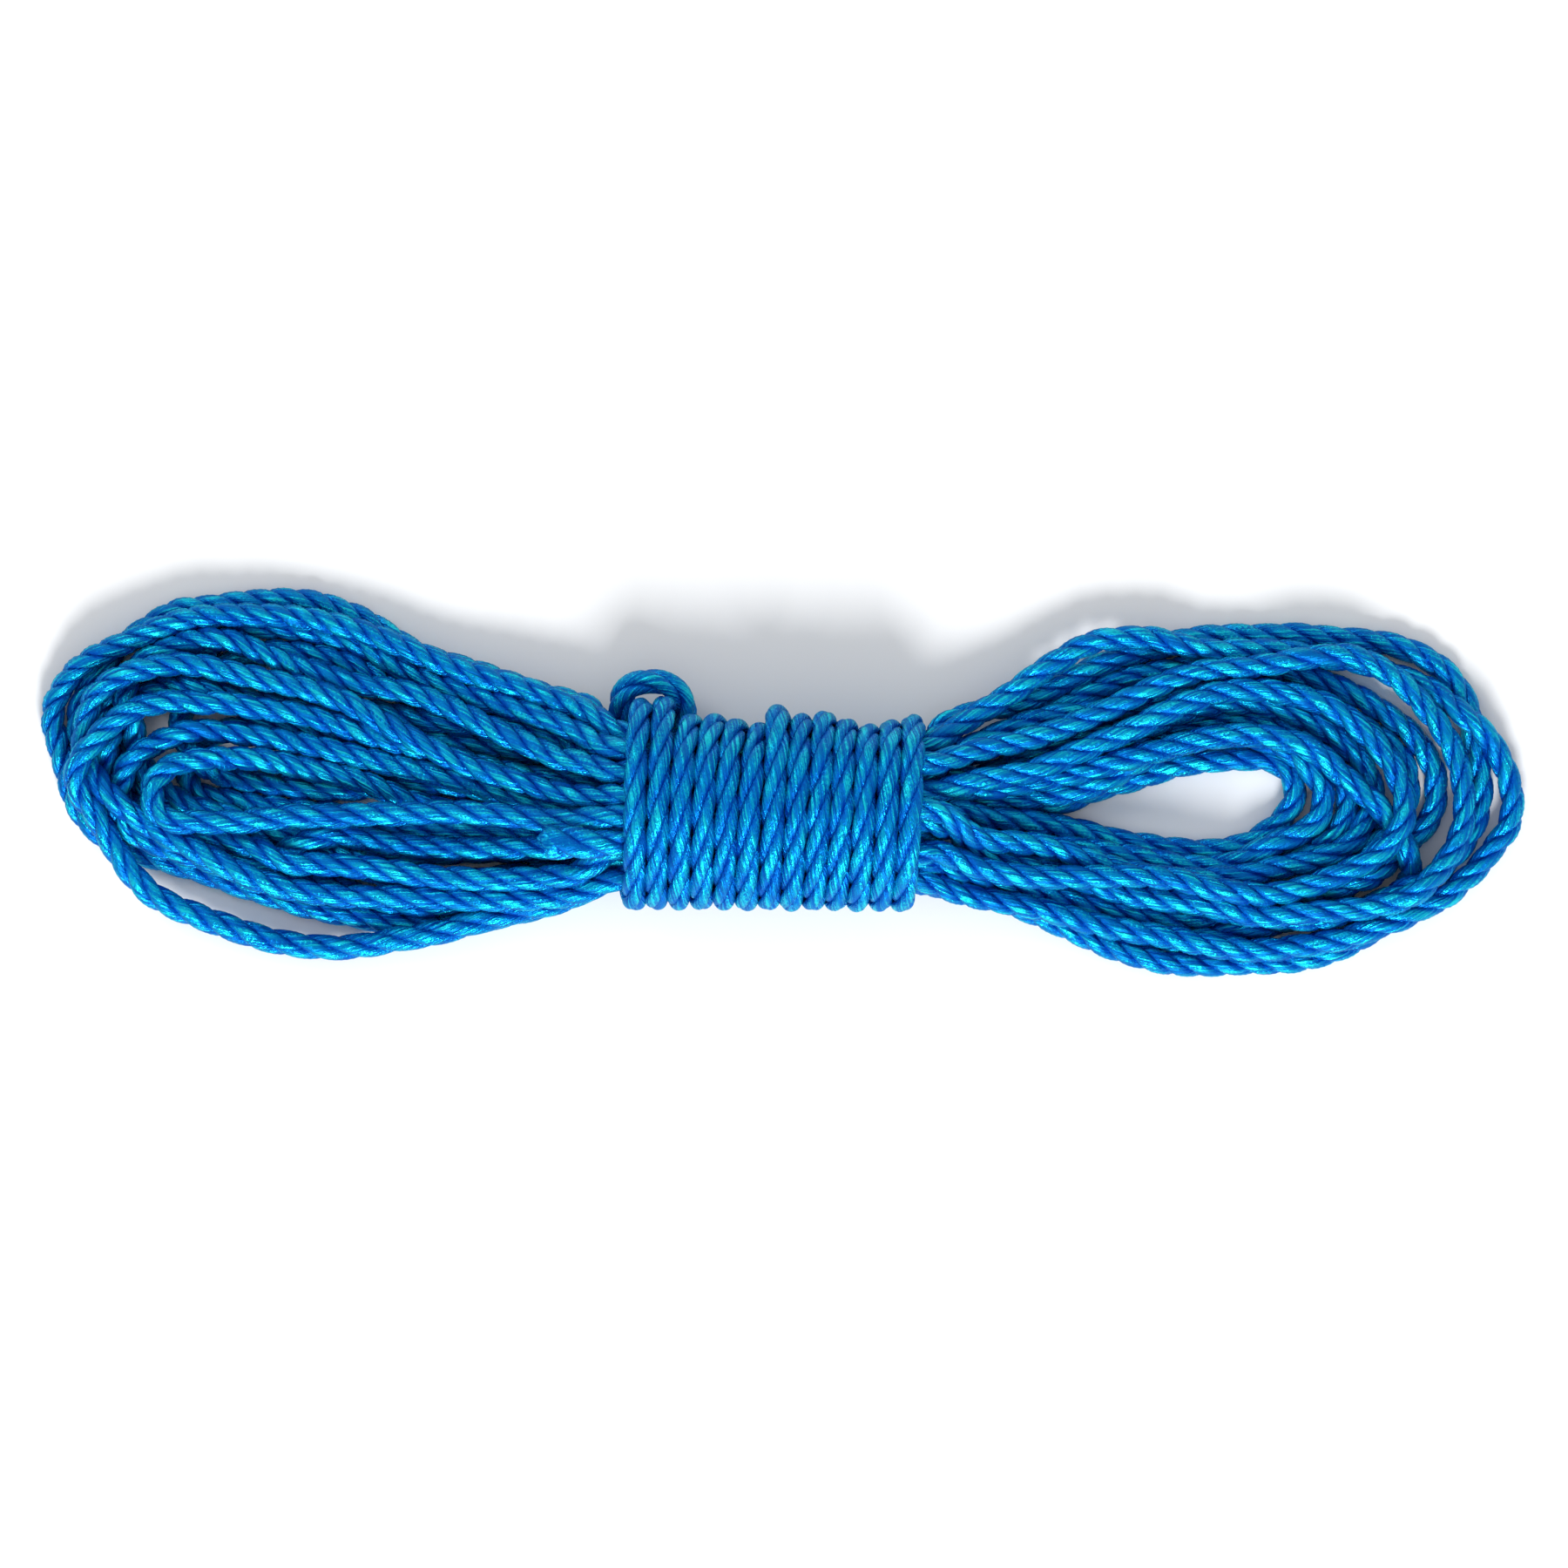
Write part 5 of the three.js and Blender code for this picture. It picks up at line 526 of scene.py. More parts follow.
# How the lay changes along the rope: point number, length of one turn of the lay in mm, thickness as a factor.
LAY = [
    (0, 24.0, 1.00), (8, 24.9, 1.03), (33, 24.0, 1.04), (41, 22.4, 1.04), (49, 17.8, 1.04), (66, 18.1, 1.04),
    (74, 20.4, 1.04), (82, 22.6, 1.04), (90, 22.9, 1.04), (98, 24.0, 1.00), (114, 23.9, 1.00), (122, 22.5, 1.04),
    (197, 22.6, 1.04), (205, 24.0, 1.00), (221, 24.1, 1.00), (229, 25.0, 1.04), (246, 24.1, 1.04),
    (254, 23.1, 1.04), (263, 22.9, 1.04), (271, 18.1, 1.04), (299, 18.0, 1.04), (307, 20.1, 1.04),
    (315, 22.4, 1.04), (326, 22.9, 1.04), (334, 24.0, 1.00), (350, 23.9, 1.00), (358, 22.5, 1.04),
    (449, 22.6, 1.04), (457, 24.0, 1.00), (472, 24.1, 1.00), (480, 25.0, 1.04), (497, 24.1, 1.04),
    (505, 23.2, 1.04), (524, 22.9, 1.04), (532, 18.1, 1.04), (562, 18.0, 1.04), (570, 20.2, 1.04),
    (578, 22.4, 1.04), (588, 22.9, 1.04), (596, 24.0, 1.00), (612, 23.9, 1.00), (620, 22.5, 1.04),
    (732, 22.6, 1.04), (740, 24.0, 1.00), (754, 24.1, 1.00), (762, 25.0, 1.04), (778, 24.2, 1.04),
    (786, 23.2, 1.04), (800, 22.9, 1.04), (808, 18.1, 1.04), (836, 18.1, 1.04), (844, 20.2, 1.04),
    (852, 22.4, 1.04), (861, 22.9, 1.04), (869, 24.0, 1.00), (885, 23.9, 1.00), (893, 22.5, 1.04),
    (981, 22.6, 1.04), (989, 24.0, 1.00), (1004, 24.1, 1.00), (1012, 25.0, 1.04), (1028, 24.2, 1.04),
    (1036, 23.2, 1.04), (1049, 22.9, 1.04), (1057, 18.1, 1.04), (1081, 18.1, 1.04), (1089, 20.4, 1.04),
    (1097, 22.6, 1.04), (1105, 22.9, 1.04), (1113, 24.0, 1.00), (1130, 23.9, 1.00), (1138, 22.5, 1.04),
    (1219, 22.6, 1.04), (1227, 24.0, 1.00), (1243, 24.1, 1.00), (1251, 25.0, 1.04), (1267, 24.2, 1.04),
    (1275, 23.2, 1.04), (1285, 22.9, 1.04), (1293, 18.1, 1.04), (1306, 18.0, 1.04), (1314, 20.4, 1.04),
    (1322, 24.8, 1.04), (1330, 24.9, 1.04), (1338, 24.0, 1.00), (1355, 23.9, 1.00), (1363, 22.5, 1.04),
    (1426, 22.6, 1.04), (1434, 24.0, 1.00), (1450, 24.1, 1.00), (1458, 23.1, 1.04), (1468, 22.5, 1.04),
    (1476, 20.2, 1.04), (1484, 18.0, 1.04), (1512, 18.0, 1.04), (1520, 20.1, 1.04), (1528, 22.4, 1.04),
    (1538, 22.9, 1.04), (1546, 24.0, 1.00), (1562, 23.9, 1.00), (1570, 22.5, 1.04), (1666, 22.6, 1.04),
    (1674, 24.0, 1.00), (1689, 24.1, 1.00), (1697, 25.0, 1.04), (1714, 24.1, 1.04), (1722, 23.1, 1.04),
    (1737, 22.9, 1.04), (1745, 18.1, 1.04), (1775, 18.1, 1.04), (1783, 20.2, 1.04), (1791, 22.5, 1.04),
    (1801, 22.9, 1.04), (1809, 24.0, 1.00), (1825, 23.9, 1.00), (1833, 22.5, 1.04), (1942, 22.6, 1.04),
    (1950, 24.0, 1.00), (1965, 24.1, 1.00), (1973, 25.0, 1.04), (1990, 24.1, 1.04), (1998, 23.2, 1.04),
    (2006, 22.7, 1.04), (2014, 17.9, 1.04), (2041, 18.0, 1.04), (2049, 20.3, 1.04), (2057, 22.5, 1.04),
    (2066, 22.9, 1.04), (2074, 24.0, 1.00), (2090, 23.9, 1.00), (2098, 22.5, 1.04), (2202, 22.6, 1.04),
    (2210, 24.0, 1.00), (2226, 24.1, 1.00), (2234, 25.0, 1.04), (2250, 24.2, 1.04), (2258, 23.2, 1.04),
    (2274, 22.9, 1.04), (2282, 18.1, 1.04), (2299, 18.1, 1.04), (2307, 20.3, 1.04), (2315, 22.6, 1.04),
    (2323, 22.9, 1.04), (2331, 24.0, 1.00), (2347, 23.9, 1.00), (2355, 22.5, 1.04), (2446, 22.6, 1.04),
    (2454, 24.0, 1.00), (2469, 24.1, 1.00), (2477, 25.0, 1.04), (2485, 25.5, 1.06), (2493, 27.0, 1.10),
    (2516, 27.0, 1.10), (2524, 21.9, 1.04), (2532, 17.8, 1.04), (2552, 18.1, 1.04), (2560, 20.3, 1.04),
    (2568, 22.5, 1.04), (2577, 22.9, 1.04), (2585, 24.0, 1.00), (2600, 23.9, 1.00), (2608, 22.5, 1.04),
    (2678, 22.6, 1.04), (2686, 24.0, 1.00), (2698, 24.1, 1.00), (2706, 32.5, 1.08), (2736, 33.0, 1.08),
    (2744, 32.1, 1.00), (3262, 32.0, 1.00), (3270, 28.2, 1.00), (3306, 28.0, 1.00),
]

route = np.array([int(w) for w in ROUTE.split()], float).reshape(-1, 3) / 100.0 - ORIGIN


def catmull(points, per):
    """The smooth line through points, with per steps from each to the next."""
    p = np.vstack([2 * points[0] - points[1], points, 2 * points[-1] - points[-2]])
    t = (np.arange(per) / per)[None, :, None]
    a, b, c, d = (p[k : len(p) - 3 + k][:, None, :] for k in range(4))
    q = 0.5 * (2 * b + (c - a) * t + (2 * a - 5 * b + 4 * c - d) * t**2 + (3 * b - a - 3 * c + d) * t**3)
    return np.vstack([q.reshape(-1, 3), points[-1:]])


fine = catmull(route, 4)
along = np.r_[0, np.cumsum(np.linalg.norm(np.diff(fine, axis=0), axis=1))]
LENGTH = float(along[-1])
count = int(round(LENGTH / STEP)) + 1
s = np.linspace(0, LENGTH, count)
middle = np.stack([np.interp(s, along, fine[:, k]) for k in range(3)], 1)
where = np.interp(s, along, np.arange(len(fine)) / 4.0)  # in points of the route

tangent = np.gradient(middle, axis=0)
tangent /= np.linalg.norm(tangent, axis=1)[:, None]
across = np.empty_like(middle)
v = np.cross(tangent[0], [0.0, 0.0, 1.0])
across[0] = v / np.linalg.norm(v)
for i in range(1, count):  # a frame that doesn't twist, so that all the twist is the lay's
    v = across[i - 1] - tangent[i] * (across[i - 1] @ tangent[i])
    across[i] = v / np.linalg.norm(v)
beside = np.cross(tangent, across)

lay_at, lay_mm, thick = (np.array(c, float) for c in zip(*LAY))
rng = np.random.default_rng(11)


def wander(size, every):
    """Slow, seeded variation along the rope, about -1 to 1."""
    knots = rng.uniform(-1, 1, int(LENGTH / every) + 3)
    u = s / every
    i = u.astype(int)
    f = u - i
    f = f * f * (3 - 2 * f)
    return size * (knots[i] * (1 - f) + knots[i + 1] * f)


lay = np.interp(where, lay_at, lay_mm) * (1 + wander(0.11, 55.0))
fat = np.interp(where, lay_at, thick) * (1 + wander(0.012, 35.0))
phase = np.r_[0, np.cumsum(np.diff(s) / (0.5 * (lay[1:] + lay[:-1])))]  # turns of the lay

# --------------------------------------------------------------------------------------------------- the rope's mesh
# Ring points are close together on the crown of a strand and far apart where it is buried among the others.
SIDES = 14
ring = np.linspace(-1, 1, SIDES + 1)[:-1] + 1 / SIDES
psi = math.pi * np.sign(ring) * np.abs(ring) ** 1.18
# the atlas: strips of strand laid out under each other, used again every TILE of strand, as a weave would be
STRIPS = 16
STRIP_LENGTH = 205.0
TILE = STRIPS * STRIP_LENGTH
EDGE = 0.035  # of a strip's height, left free at each edge

# the last of the tail was pressed flat and wide when its end was melted
to_end = np.clip(1 - (LENGTH - s) / 26.0, 0, 1)
to_end = to_end * to_end * (3 - 2 * to_end)
level = np.cross(np.tile([0.0, 0.0, 1.0], (count, 1)), tangent)
level /= np.linalg.norm(level, axis=1)[:, None]
TAIL_WIDER, TAIL_FLATTER = 0.46, 0.22

points, quads, atlas, fibre_uv, grain, painted_groove_shade = [], [], [], [], [], []
base = 0
for k in range(3):
    turn = 2 * math.pi * (phase + k / 3.0)
    out = across * np.cos(turn)[:, None] + beside * np.sin(turn)[:, None]
    side = -across * np.sin(turn)[:, None] + beside * np.cos(turn)[:, None]
    deep = STRAND_DEEP * fat * (1 + wander(0.05, 19.0))
    wide = STRAND_WIDE * fat * (1 + wander(0.06, 16.0))
    centre = middle + out * (STRAND_CENTRE * fat * (1 + wander(0.02, 25.0)))[:, None]
    c, n = np.cos(psi), np.sin(psi)
    # a crown a little flatter than an ellipse's
    c2 = np.sign(c) * np.abs(c) ** 0.92
    n2 = np.sign(n) * np.abs(n) ** 0.96
    p = centre[:, None, :] + out[:, None, :] * (deep[:, None] * c2)[..., None] + side[:, None, :] * (wide[:, None] * n2)[..., None]
    q = p - middle[:, None, :]
    q += level[:, None, :] * ((q * level[:, None, :]).sum(-1) * (TAIL_WIDER * to_end)[:, None])[..., None]
    q[..., 2] *= (1 - TAIL_FLATTER * to_end)[:, None]
    p = middle[:, None, :] + q
    p[..., 2] = np.maximum(p[..., 2], 0.02)  # pressed flat where it lies on the floor
    points.append(p.reshape(-1, 3))
    # 0 on a strand's crown, 1 in the groove beside it: the mask for the painted shade of the grooves
    groove = np.clip((np.abs(psi) / math.pi * 180 - 25) / 60, 0, 1)
    painted_groove_shade.append(np.tile(groove * groove * (3 - 2 * groove), (count, 1)).ravel())
    i, j = np.meshgrid(np.arange(count - 1), np.arange(SIDES), indexing="ij")
    j1 = (j + 1) % SIDES
    a, b, c_, d = base + i * SIDES + j, base + i * SIDES + j1, base + (i + 1) * SIDES + j1, base + (i + 1) * SIDES + j
    quads.append(np.stack([a, b, c_, d], -1).reshape(-1, 4))
    # corner values, in the same order: (i, j), (i, j+1), (i+1, j+1), (i+1, j)
    si = np.stack([i, i, i + 1, i + 1], -1).reshape(-1)
    sj = np.stack([j, j + 1, j + 1, j], -1).reshape(-1)
    start = s[np.repeat(i.reshape(-1), 4)] + k * 3517.0  # mm along the strand of the face's start
    mm = s[si] + k * 3517.0
    round_ = sj / SIDES  # 0 to 1 by ring points
    ang = np.r_[psi, psi[0] + 2 * math.pi][sj] / (2 * math.pi)
    tile = np.floor(start / TILE) * TILE
    strip = np.minimum(np.floor((start - tile) / STRIP_LENGTH), STRIPS - 1)
    u = (mm - tile - strip * STRIP_LENGTH) / STRIP_LENGTH
    vv = (strip + EDGE + (1 - 2 * EDGE) * round_) / STRIPS
    atlas.append(np.stack([u * 0.985 + 0.004, vv], -1))
    # the fibres' own coordinates: how far along, and how far round their strand they started
    fibre_uv.append(np.stack([mm / 10.0, ang + FIBRE_TWIST * mm], -1))
    t_along = mm - tile
    around = 2 * math.pi * (ang + FIBRE_TWIST * t_along)
    grain.append(np.stack([1.5 * np.cos(around), 1.5 * np.sin(around), t_along], -1))
    base += count * SIDES
points, quads = np.vstack(points), np.vstack(quads)
caps = []
for k in range(3):
    first = k * count * SIDES
    caps.append(list(range(first, first + SIDES)))
    caps.append(list(range(first + (count - 1) * SIDES, first + count * SIDES))[::-1])
atlas, fibre_uv, grain = np.vstack(atlas), np.vstack(fibre_uv), np.vstack(grain)
pad = sum(len(c) for c in caps)
atlas = np.vstack([atlas, np.tile([[0.5, 0.5]], (pad, 1)) + rng.uniform(0, 0.002, (pad, 2))])
fibre_uv = np.vstack([fibre_uv, rng.uniform(0, 0.01, (pad, 2))])
grain = np.vstack([grain, np.zeros((pad, 3))])


def mesh_of(name, points_mm, faces_flat, sizes):
    mesh = bpy.data.meshes.new(name)
    mesh.vertices.add(len(points_mm))
    mesh.vertices.foreach_set("co", (np.asarray(points_mm) * MM).astype(np.float32).ravel())
    mesh.loops.add(len(faces_flat))
    mesh.loops.foreach_set("vertex_index", np.asarray(faces_flat, np.int32))
    mesh.polygons.add(len(sizes))
    starts = np.r_[0, np.cumsum(sizes)[:-1]]
    mesh.polygons.foreach_set("loop_start", starts.astype(np.int32))
    mesh.polygons.foreach_set("loop_total", np.asarray(sizes, np.int32))
    mesh.polygons.foreach_set("use_smooth", np.ones(len(sizes), bool))
    mesh.update(calc_edges=True)
    mesh.validate()
    return mesh


flat = np.r_[quads.ravel(), np.concatenate([np.array(c) for c in caps])]
sizes = [4] * len(quads) + [len(c) for c in caps]
rope_mesh = mesh_of("rope", points, flat, sizes)
for name, values in (("OFBake", atlas), ("fibre", fibre_uv)):
    layer = rope_mesh.uv_layers.new(name=name, do_init=False)
    layer.uv.foreach_set("vector", values.astype(np.float32).ravel())
attribute = rope_mesh.attributes.new("grain", "FLOAT_VECTOR", "CORNER")
attribute.data.foreach_set("vector", grain.astype(np.float32).ravel())
# the groove mask, which carries the painted shade of the grooves
attribute = rope_mesh.attributes.new("groove", "FLOAT", "POINT")
attribute.data.foreach_set("value", np.concatenate(painted_groove_shade).astype(np.float32))
rope = bpy.data.objects.new("rope", rope_mesh)
bpy.context.scene.collection.objects.link(rope)

def tip(name, at, forward, up, half_width, half_depth, length, face, seed):
    """A heat-sealed end: a short, flattened, creased lump that closes round the ends of the three strands."""
    rows, cols = 44, 56
    f, u = Vector(forward).normalized(), Vector(up)
    u = (u - f * u.dot(f)).normalized()
    w = u.cross(f)
    verts, faces = [], []
    for r in range(rows + 1):
        t = r / rows
        x = length * (1 - (1 - t) ** 1.6)  # rings are closest together at the face
        close = max(1 - max((x / length - 0.62) / 0.38, 0) ** 2.6, 0) ** 0.5
        swell = 0.86 + 0.14 * math.sin(min(x / length, 0.75) / 0.75 * math.pi / 2)
        for c in range(cols):
            a = 2 * math.pi * c / cols
            ca, sa = math.cos(a), math.sin(a)
            p_ = 2.5
            k = (abs(ca) ** p_ + abs(sa) ** p_) ** (-1 / p_)
            side_, high = ca * k * half_width * swell * close, sa * k * half_depth * swell * close
            lobes = 1 + 0.07 * math.cos(3 * a + 0.9 + 0.25 * x) * (1 - t)
            q = Vector((x, side_ * lobes, high * lobes))
            # the cut runs aslant, furthest forward a little below the middle
            q.x += face * (0.9 - 1.7 * abs(side_ / half_width + 0.25)) * (x / length) ** 2
            n = Vector((q.x * 0.9 + seed, q.y * 0.9, q.z * 0.9))
            rough = 0.30 * (noise.noise(n) ) + 0.16 * noise.noise(n * 2.7) + 0.12 * abs(noise.noise(n * 5.1 + Vector((3, 1, 7))))
            grow = 0.35 + 0.65 * t
            q += Vector((1.0 * (0.3 + t), ca, sa)).normalized() * rough * grow
            verts.append(Vector(at) + f * q.x + w * q.y + u * q.z)
    for r in range(rows):
        for c in range(cols):
            a, b = r * cols + c, r * cols + (c + 1) % cols
            faces.append((a, b, b + cols, a + cols))
    faces.append(tuple(range(cols))[::-1])
    last = rows * cols
    verts.append(sum((verts[last + c] for c in range(cols)), Vector()) / cols)
    for c in range(cols):
        faces.append((last + c, last + (c + 1) % cols, len(verts) - 1))
    mesh = mesh_of(name, [tuple(v_) for v_ in verts], np.concatenate([np.array(f_) for f_ in faces]), [len(f_) for f_ in faces])
    piece = bpy.data.objects.new(name, mesh)
    bpy.context.scene.collection.objects.link(piece)
    return piece


end, start_ = middle[-1], middle[0]
tail_tip = tip("fused_tail_end", end - tangent[-1] * 3.0, tangent[-1], (0, 0, 1), 4.15, 2.15, 3.9, 2.2, 5.0)
buried_tip = tip("fused_start_end", start_ + tangent[0] * 2.4, -tangent[0], (0, 0, 1), 2.95, 2.5, 3.6, 0.6, 9.0)

# ------------------------------------------------------------------------------------------------------- materials
def node(tree, kind, x=0, y=0, **values):
    n = tree.nodes.new(kind)
    n.location = (x, y)
    for key, value in values.items():
        if hasattr(n, key):
            setattr(n, key, value)
        else:
            n.inputs[key.replace("_", " ")].default_value = value
    return n


def ramp(tree, source, stops, x=0, y=0):
    r = node(tree, "ShaderNodeValToRGB", x, y)
    e = r.color_ramp.elements
    while len(e) < len(stops):
        e.new(0.5)
    for k, (pos, col) in enumerate(stops):
        e[k].position = pos
        e[k].color = (*col, 1) if len(col) == 3 else (col[0],) * 3 + (1,)
    tree.links.new(source, r.inputs[0])
    return r.outputs[0]


def grain_noise(tree, coords, across_mm, along_mm, detail, x, y, rough=0.5):
    """Noise drawn out along the fibres: across_mm wide and along_mm long."""
    m = node(tree, "ShaderNodeMapping", x - 200, y)
    m.inputs["Scale"].default_value = (1 / across_mm, 1 / across_mm, 1 / along_mm)
    tree.links.new(coords, m.inputs["Vector"])
    n = node(tree, "ShaderNodeTexNoise", x, y)
    n.noise_dimensions = "3D"
    n.inputs["Scale"].default_value = 1.0
    n.inputs["Detail"].default_value = detail
    n.inputs["Roughness"].default_value = rough
    tree.links.new(m.outputs[0], n.inputs["Vector"])
    return n.outputs["Fac"]


def yarn_material():
    """Bright blue multifilament: fine shiny fibres, seen as streaks along the fibres and as bundles half a mm wide.
    The colour is darkened in the grooves between strands as painted shade, and its lightest cyan streaks are partly a
    painted highlight.
    """
    mat = bpy.data.materials.new("blue_multifilament")
    mat.use_nodes = True
    t = mat.node_tree
    t.nodes.clear()
    out = node(t, "ShaderNodeOutputMaterial", 900, 0)
    p = node(t, "ShaderNodeBsdfPrincipled", 600, 0)
    t.links.new(p.outputs[0], out.inputs[0])
    g = node(t, "ShaderNodeAttribute", -900, 0, attribute_name="grain")
    g.attribute_type = "GEOMETRY"
    vec = g.outputs["Vector"]
    bundles = grain_noise(t, vec, 0.60, 40.0, 1.0, -500, 300)
    fine = grain_noise(t, vec, 0.24, 26.0, 1.5, -500, 0, 0.6)
    finest = grain_noise(t, vec, 0.10, 12.0, 1.0, -500, -300)
    patch = grain_noise(t, vec, 2.2, 9.0, 2.0, -500, -600)
    mix = node(t, "ShaderNodeMath", -200, 200, operation="MULTIPLY_ADD")
    t.links.new(fine, mix.inputs[0])
    mix.inputs[1].default_value = 0.8
    t.links.new(bundles, mix.inputs[2])
    mix2 = node(t, "ShaderNodeMath", -50, 200, operation="MULTIPLY_ADD")
    t.links.new(patch, mix2.inputs[0])
    mix2.inputs[1].default_value = 0.45
    t.links.new(mix.outputs[0], mix2.inputs[2])
    stretch = node(t, "ShaderNodeMapRange", 40, 250)
    t.links.new(mix2.outputs[0], stretch.inputs[0])
    stretch.inputs[1].default_value = 0.86
    stretch.inputs[2].default_value = 1.38
    # the colour varies at random between darker and lighter fibres; its lightest, cyan stop is partly a painted
    # highlight of the glints along the fibres
    colour = ramp(
        t,
        stretch.outputs[0],
        [(0.18, (0.000, 0.066, 0.43)), (0.42, (0.0001, 0.128, 0.47)), (0.62, (0.0003, 0.225, 0.52)), (0.84, (0.008, 0.52, 0.68))],
        200,
        250,
    )
    # painted shade: the colour is multiplied darker and bluer towards the grooves between strands, where shade falls
    deep = node(t, "ShaderNodeAttribute", -200, 600, attribute_name="groove")
    deep.attribute_type = "GEOMETRY"
    shade = ramp(t, deep.outputs["Fac"], [(0.0, (1.0, 1.0, 1.0)), (0.5, (0.85, 0.80, 1.0)), (1.0, (0.6, 0.50, 1.0))], 200, 550)
    darker = node(t, "ShaderNodeMix", 420, 350, data_type="RGBA", blend_type="MULTIPLY")
    darker.inputs[0].default_value = 1.0
    t.links.new(colour, darker.inputs[6])
    t.links.new(shade, darker.inputs[7])
    t.links.new(darker.outputs[2], p.inputs["Base Color"])
    rough = ramp(t, stretch.outputs[0], [(0.25, (0.44,)), (0.50, (0.27,)), (0.75, (0.15,))], 120, 0)
    t.links.new(rough, p.inputs["Roughness"])
    b1 = node(t, "ShaderNodeBump", 150, -300)
    b1.inputs["Strength"].default_value = 1.0
    b1.inputs["Distance"].default_value = 0.00048
    t.links.new(bundles, b1.inputs["Height"])
    b2 = node(t, "ShaderNodeBump", 350, -300)
    b2.inputs["Strength"].default_value = 0.9
    b2.inputs["Distance"].default_value = 0.00016
    t.links.new(fine, b2.inputs["Height"])
    t.links.new(b1.outputs[0], b2.inputs["Normal"])
    b3 = node(t, "ShaderNodeBump", 500, -300)
    b3.inputs["Strength"].default_value = 0.6
    b3.inputs["Distance"].default_value = 0.00004
    t.links.new(finest, b3.inputs["Height"])
    t.links.new(b2.outputs[0], b3.inputs["Normal"])
    t.links.new(b3.outputs[0], p.inputs["Normal"])
    along_fibre = node(t, "ShaderNodeTangent", 300, -600, direction_type="UV_MAP", uv_map="fibre")
    t.links.new(along_fibre.outputs[0], p.inputs["Tangent"])
    p.inputs["Metallic"].default_value = 0.52
    p.inputs["Anisotropic"].default_value = 0.72
    p.inputs["Specular IOR Level"].default_value = 1.0
    p.inputs["Specular Tint"].default_value = (0.03, 0.95, 0.97, 1)
    p.inputs["IOR"].default_value = 1.8
    return mat


def melted_material():
    """The same plastic where it was melted: glossy and creased, lighter and glossier in streaks."""
    mat = bpy.data.materials.new("blue_melted_end")
    mat.use_nodes = True
    t = mat.node_tree
    t.nodes.clear()
    out = node(t, "ShaderNodeOutputMaterial", 900, 0)
    p = node(t, "ShaderNodeBsdfPrincipled", 600, 0)
    t.links.new(p.outputs[0], out.inputs[0])
    co = node(t, "ShaderNodeTexCoord", -900, 0)
    m = node(t, "ShaderNodeMapping", -700, 0)
    m.inputs["Scale"].default_value = (420.0, 1500.0, 1500.0)
    t.links.new(co.outputs["Object"], m.inputs["Vector"])
    streak = node(t, "ShaderNodeTexNoise", -450, 200)
    streak.inputs["Scale"].default_value = 1.3
    streak.inputs["Detail"].default_value = 3.0
    t.links.new(m.outputs[0], streak.inputs["Vector"])
    crease = node(t, "ShaderNodeTexVoronoi", -450, -150, feature="DISTANCE_TO_EDGE")
    crease.inputs["Scale"].default_value = 620.0
    t.links.new(co.outputs["Object"], crease.inputs["Vector"])
    colour = ramp(t, streak.outputs["Fac"], [(0.34, (0.0, 0.055, 0.34)), (0.52, (0.0005, 0.150, 0.46)), (0.70, (0.01, 0.42, 0.66))], 0, 200)
    t.links.new(colour, p.inputs["Base Color"])
    rough = ramp(t, streak.outputs["Fac"], [(0.35, (0.36,)), (0.70, (0.16,))], 0, 0)
    t.links.new(rough, p.inputs["Roughness"])
    b1 = node(t, "ShaderNodeBump", 200, -300)
    b1.inputs["Strength"].default_value = 0.6
    b1.inputs["Distance"].default_value = 0.00025
    t.links.new(crease.outputs["Distance"], b1.inputs["Height"])
    b2 = node(t, "ShaderNodeBump", 380, -300)
    b2.inputs["Strength"].default_value = 0.7
    b2.inputs["Distance"].default_value = 0.00015
    t.links.new(streak.outputs["Fac"], b2.inputs["Height"])
    t.links.new(b1.outputs[0], b2.inputs["Normal"])
    t.links.new(b2.outputs[0], p.inputs["Normal"])
    p.inputs["Metallic"].default_value = 0.45
    p.inputs["Specular IOR Level"].default_value = 0.7
    p.inputs["Specular Tint"].default_value = (0.03, 0.95, 0.97, 1)
    p.inputs["IOR"].default_value = 1.55
    return mat


rope.data.materials.append(yarn_material())
melted = melted_material()
for piece in (tail_tip, buried_tip):
    piece.data.materials.append(melted)

# --------------------------------------------------------------------------------------------- what stands for what
every_node = [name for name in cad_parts]
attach(rope, "root")
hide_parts(*[n for n in every_node if not n.startswith("fused_tip")])
for tip, node in ((tail_tip, "fused_tip_tail"), (buried_tip, "fused_tip_buried")):
    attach(tip, "root")
    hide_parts(node)

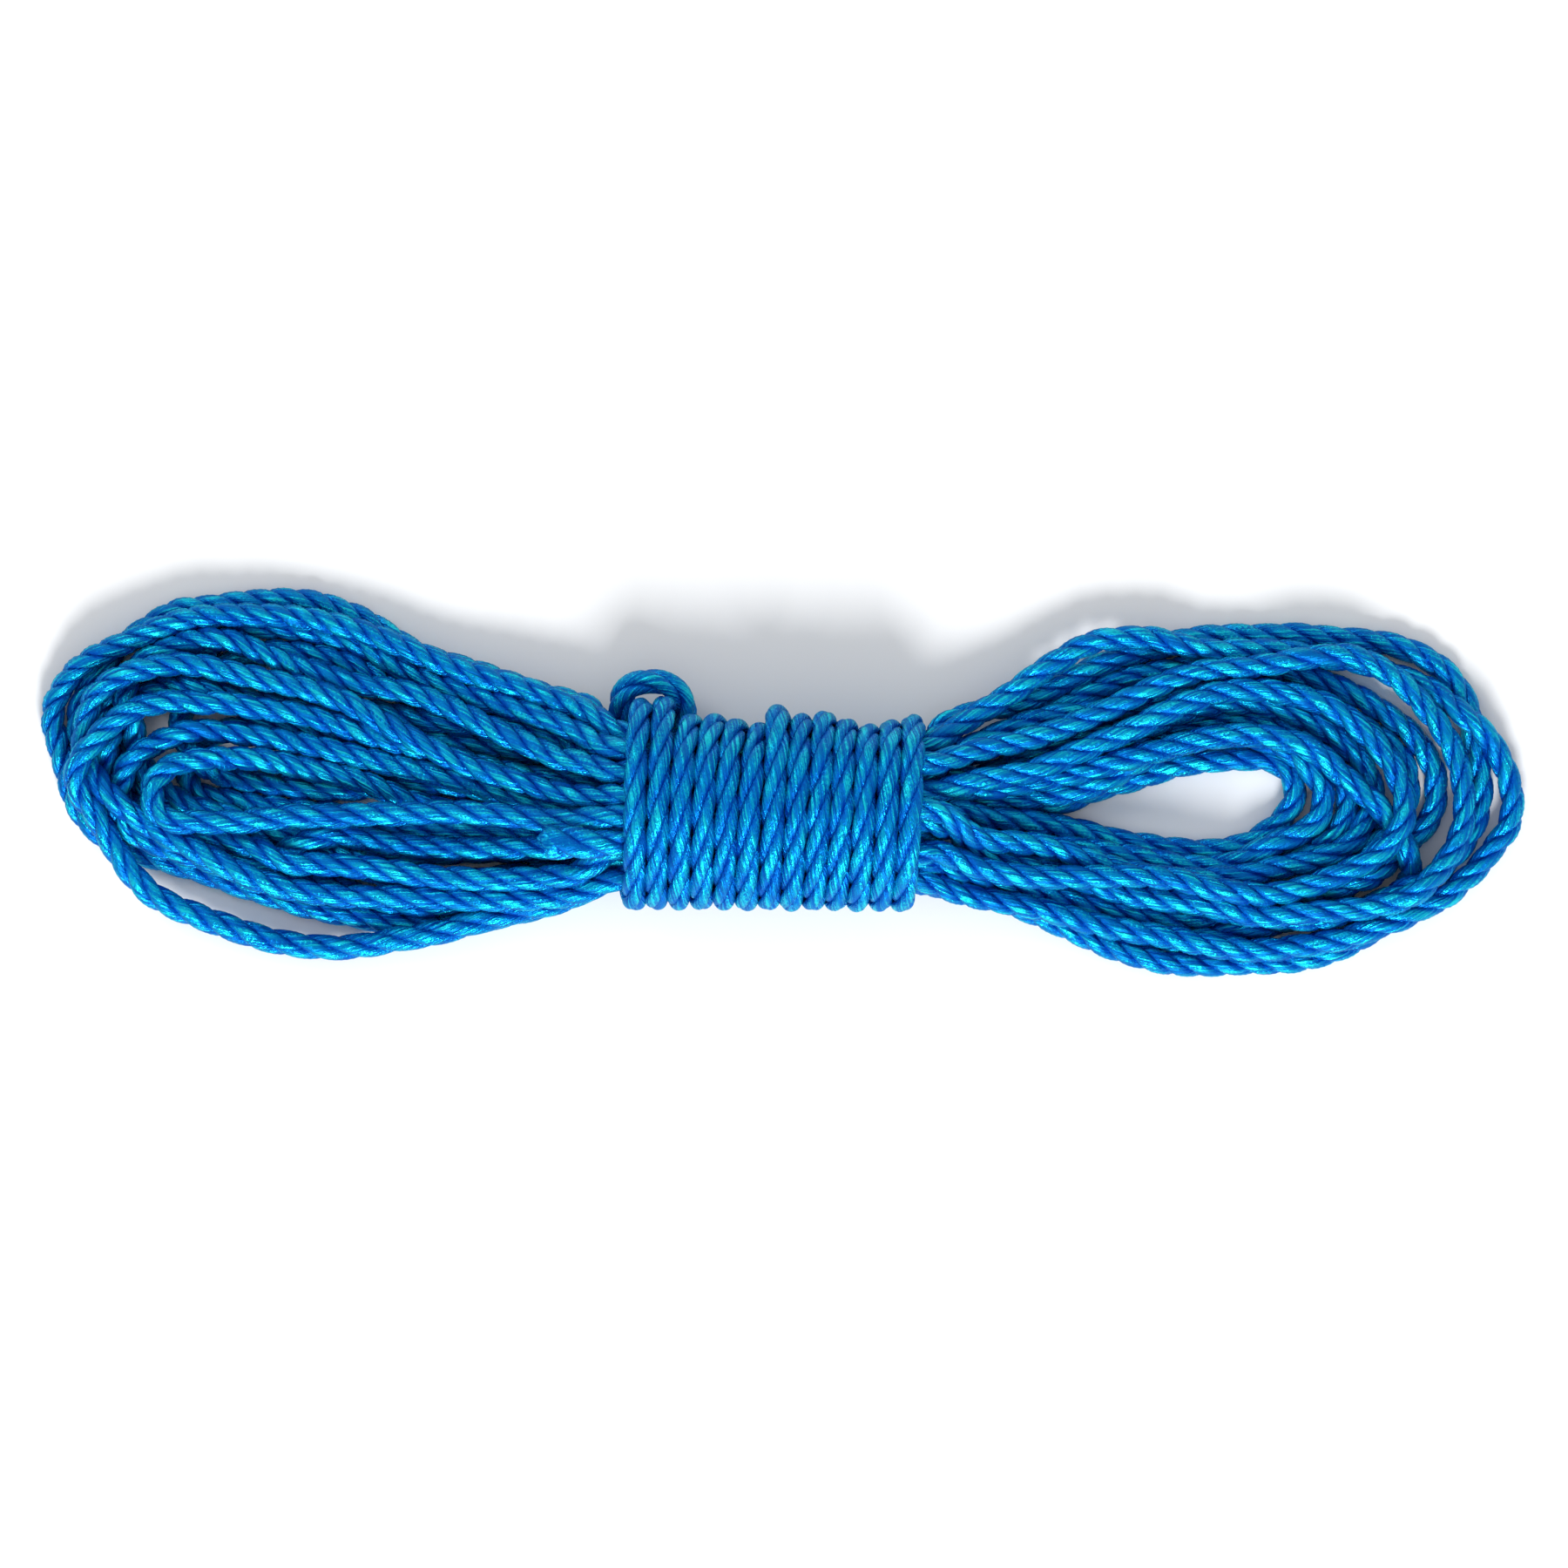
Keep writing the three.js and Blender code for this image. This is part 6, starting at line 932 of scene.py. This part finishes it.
# ------------------------------------------------------------------------------------------- floor, lights, camera
scene = bpy.context.scene
floor_mesh = bpy.data.meshes.new("floor")
FLOOR = 6.0
floor_mesh.from_pydata([(-FLOOR, -FLOOR, 0), (FLOOR, -FLOOR, 0), (FLOOR, FLOOR, 0), (-FLOOR, FLOOR, 0)], [], [(0, 1, 2, 3)])
floor = bpy.data.objects.new("floor", floor_mesh)
scene.collection.objects.link(floor)
paper = bpy.data.materials.new("pale_floor")
paper.use_nodes = True
shader = paper.node_tree.nodes["Principled BSDF"]
shader.inputs["Base Color"].default_value = (0.86, 0.865, 0.87, 1)
shader.inputs["Roughness"].default_value = 0.9
shader.inputs["Specular IOR Level"].default_value = 0.2
floor_mesh.materials.append(paper)

world = bpy.data.worlds.new("studio")
scene.world = world
world.use_nodes = True
world.node_tree.nodes["Background"].inputs["Color"].default_value = (0.97, 0.985, 1.0, 1)
world.node_tree.nodes["Background"].inputs["Strength"].default_value = 0.66


def lamp(name, direction, distance, size, watts, aim=(0, 0, 0.01), colour=(1, 1, 1)):
    light = bpy.data.lights.new(name, "AREA")
    light.shape = "DISK"
    light.size = size
    light.energy = watts
    light.color = colour
    ob = bpy.data.objects.new(name, light)
    ob.location = Vector(aim) + Vector(direction).normalized() * distance
    ob.rotation_euler = (Vector(aim) - ob.location).to_track_quat("-Z", "Y").to_euler()
    ob.visible_camera = False
    scene.collection.objects.link(ob)
    return ob


# the main light stands beyond the near side of the picture, 41 degrees up; a weak one fills from the other side
lamp("key", (0.10, -0.75, 0.66), 1.6, 0.60, 27)
lamp("fill", (-0.55, 0.60, 0.75), 1.8, 0.9, 6)

camera_data = bpy.data.cameras.new("camera")
camera = bpy.data.objects.new("camera", camera_data)
scene.collection.objects.link(camera)
scene.camera = camera
DISTANCE = 1.60
HEIGHT = 0.012  # the level at which the picture is 400 mm wide
camera_data.sensor_width = 36.0
camera_data.lens = 36.0 * DISTANCE / 0.400
camera_data.clip_start = 0.01
camera.location = (-ORIGIN[0] * MM, (-0.444 - ORIGIN[1]) * MM, HEIGHT + DISTANCE)
camera.rotation_euler = (0, 0, 0)
scene.view_settings.view_transform = "Standard"
scene.view_settings.look = "None"
scene.view_settings.exposure = 0.0
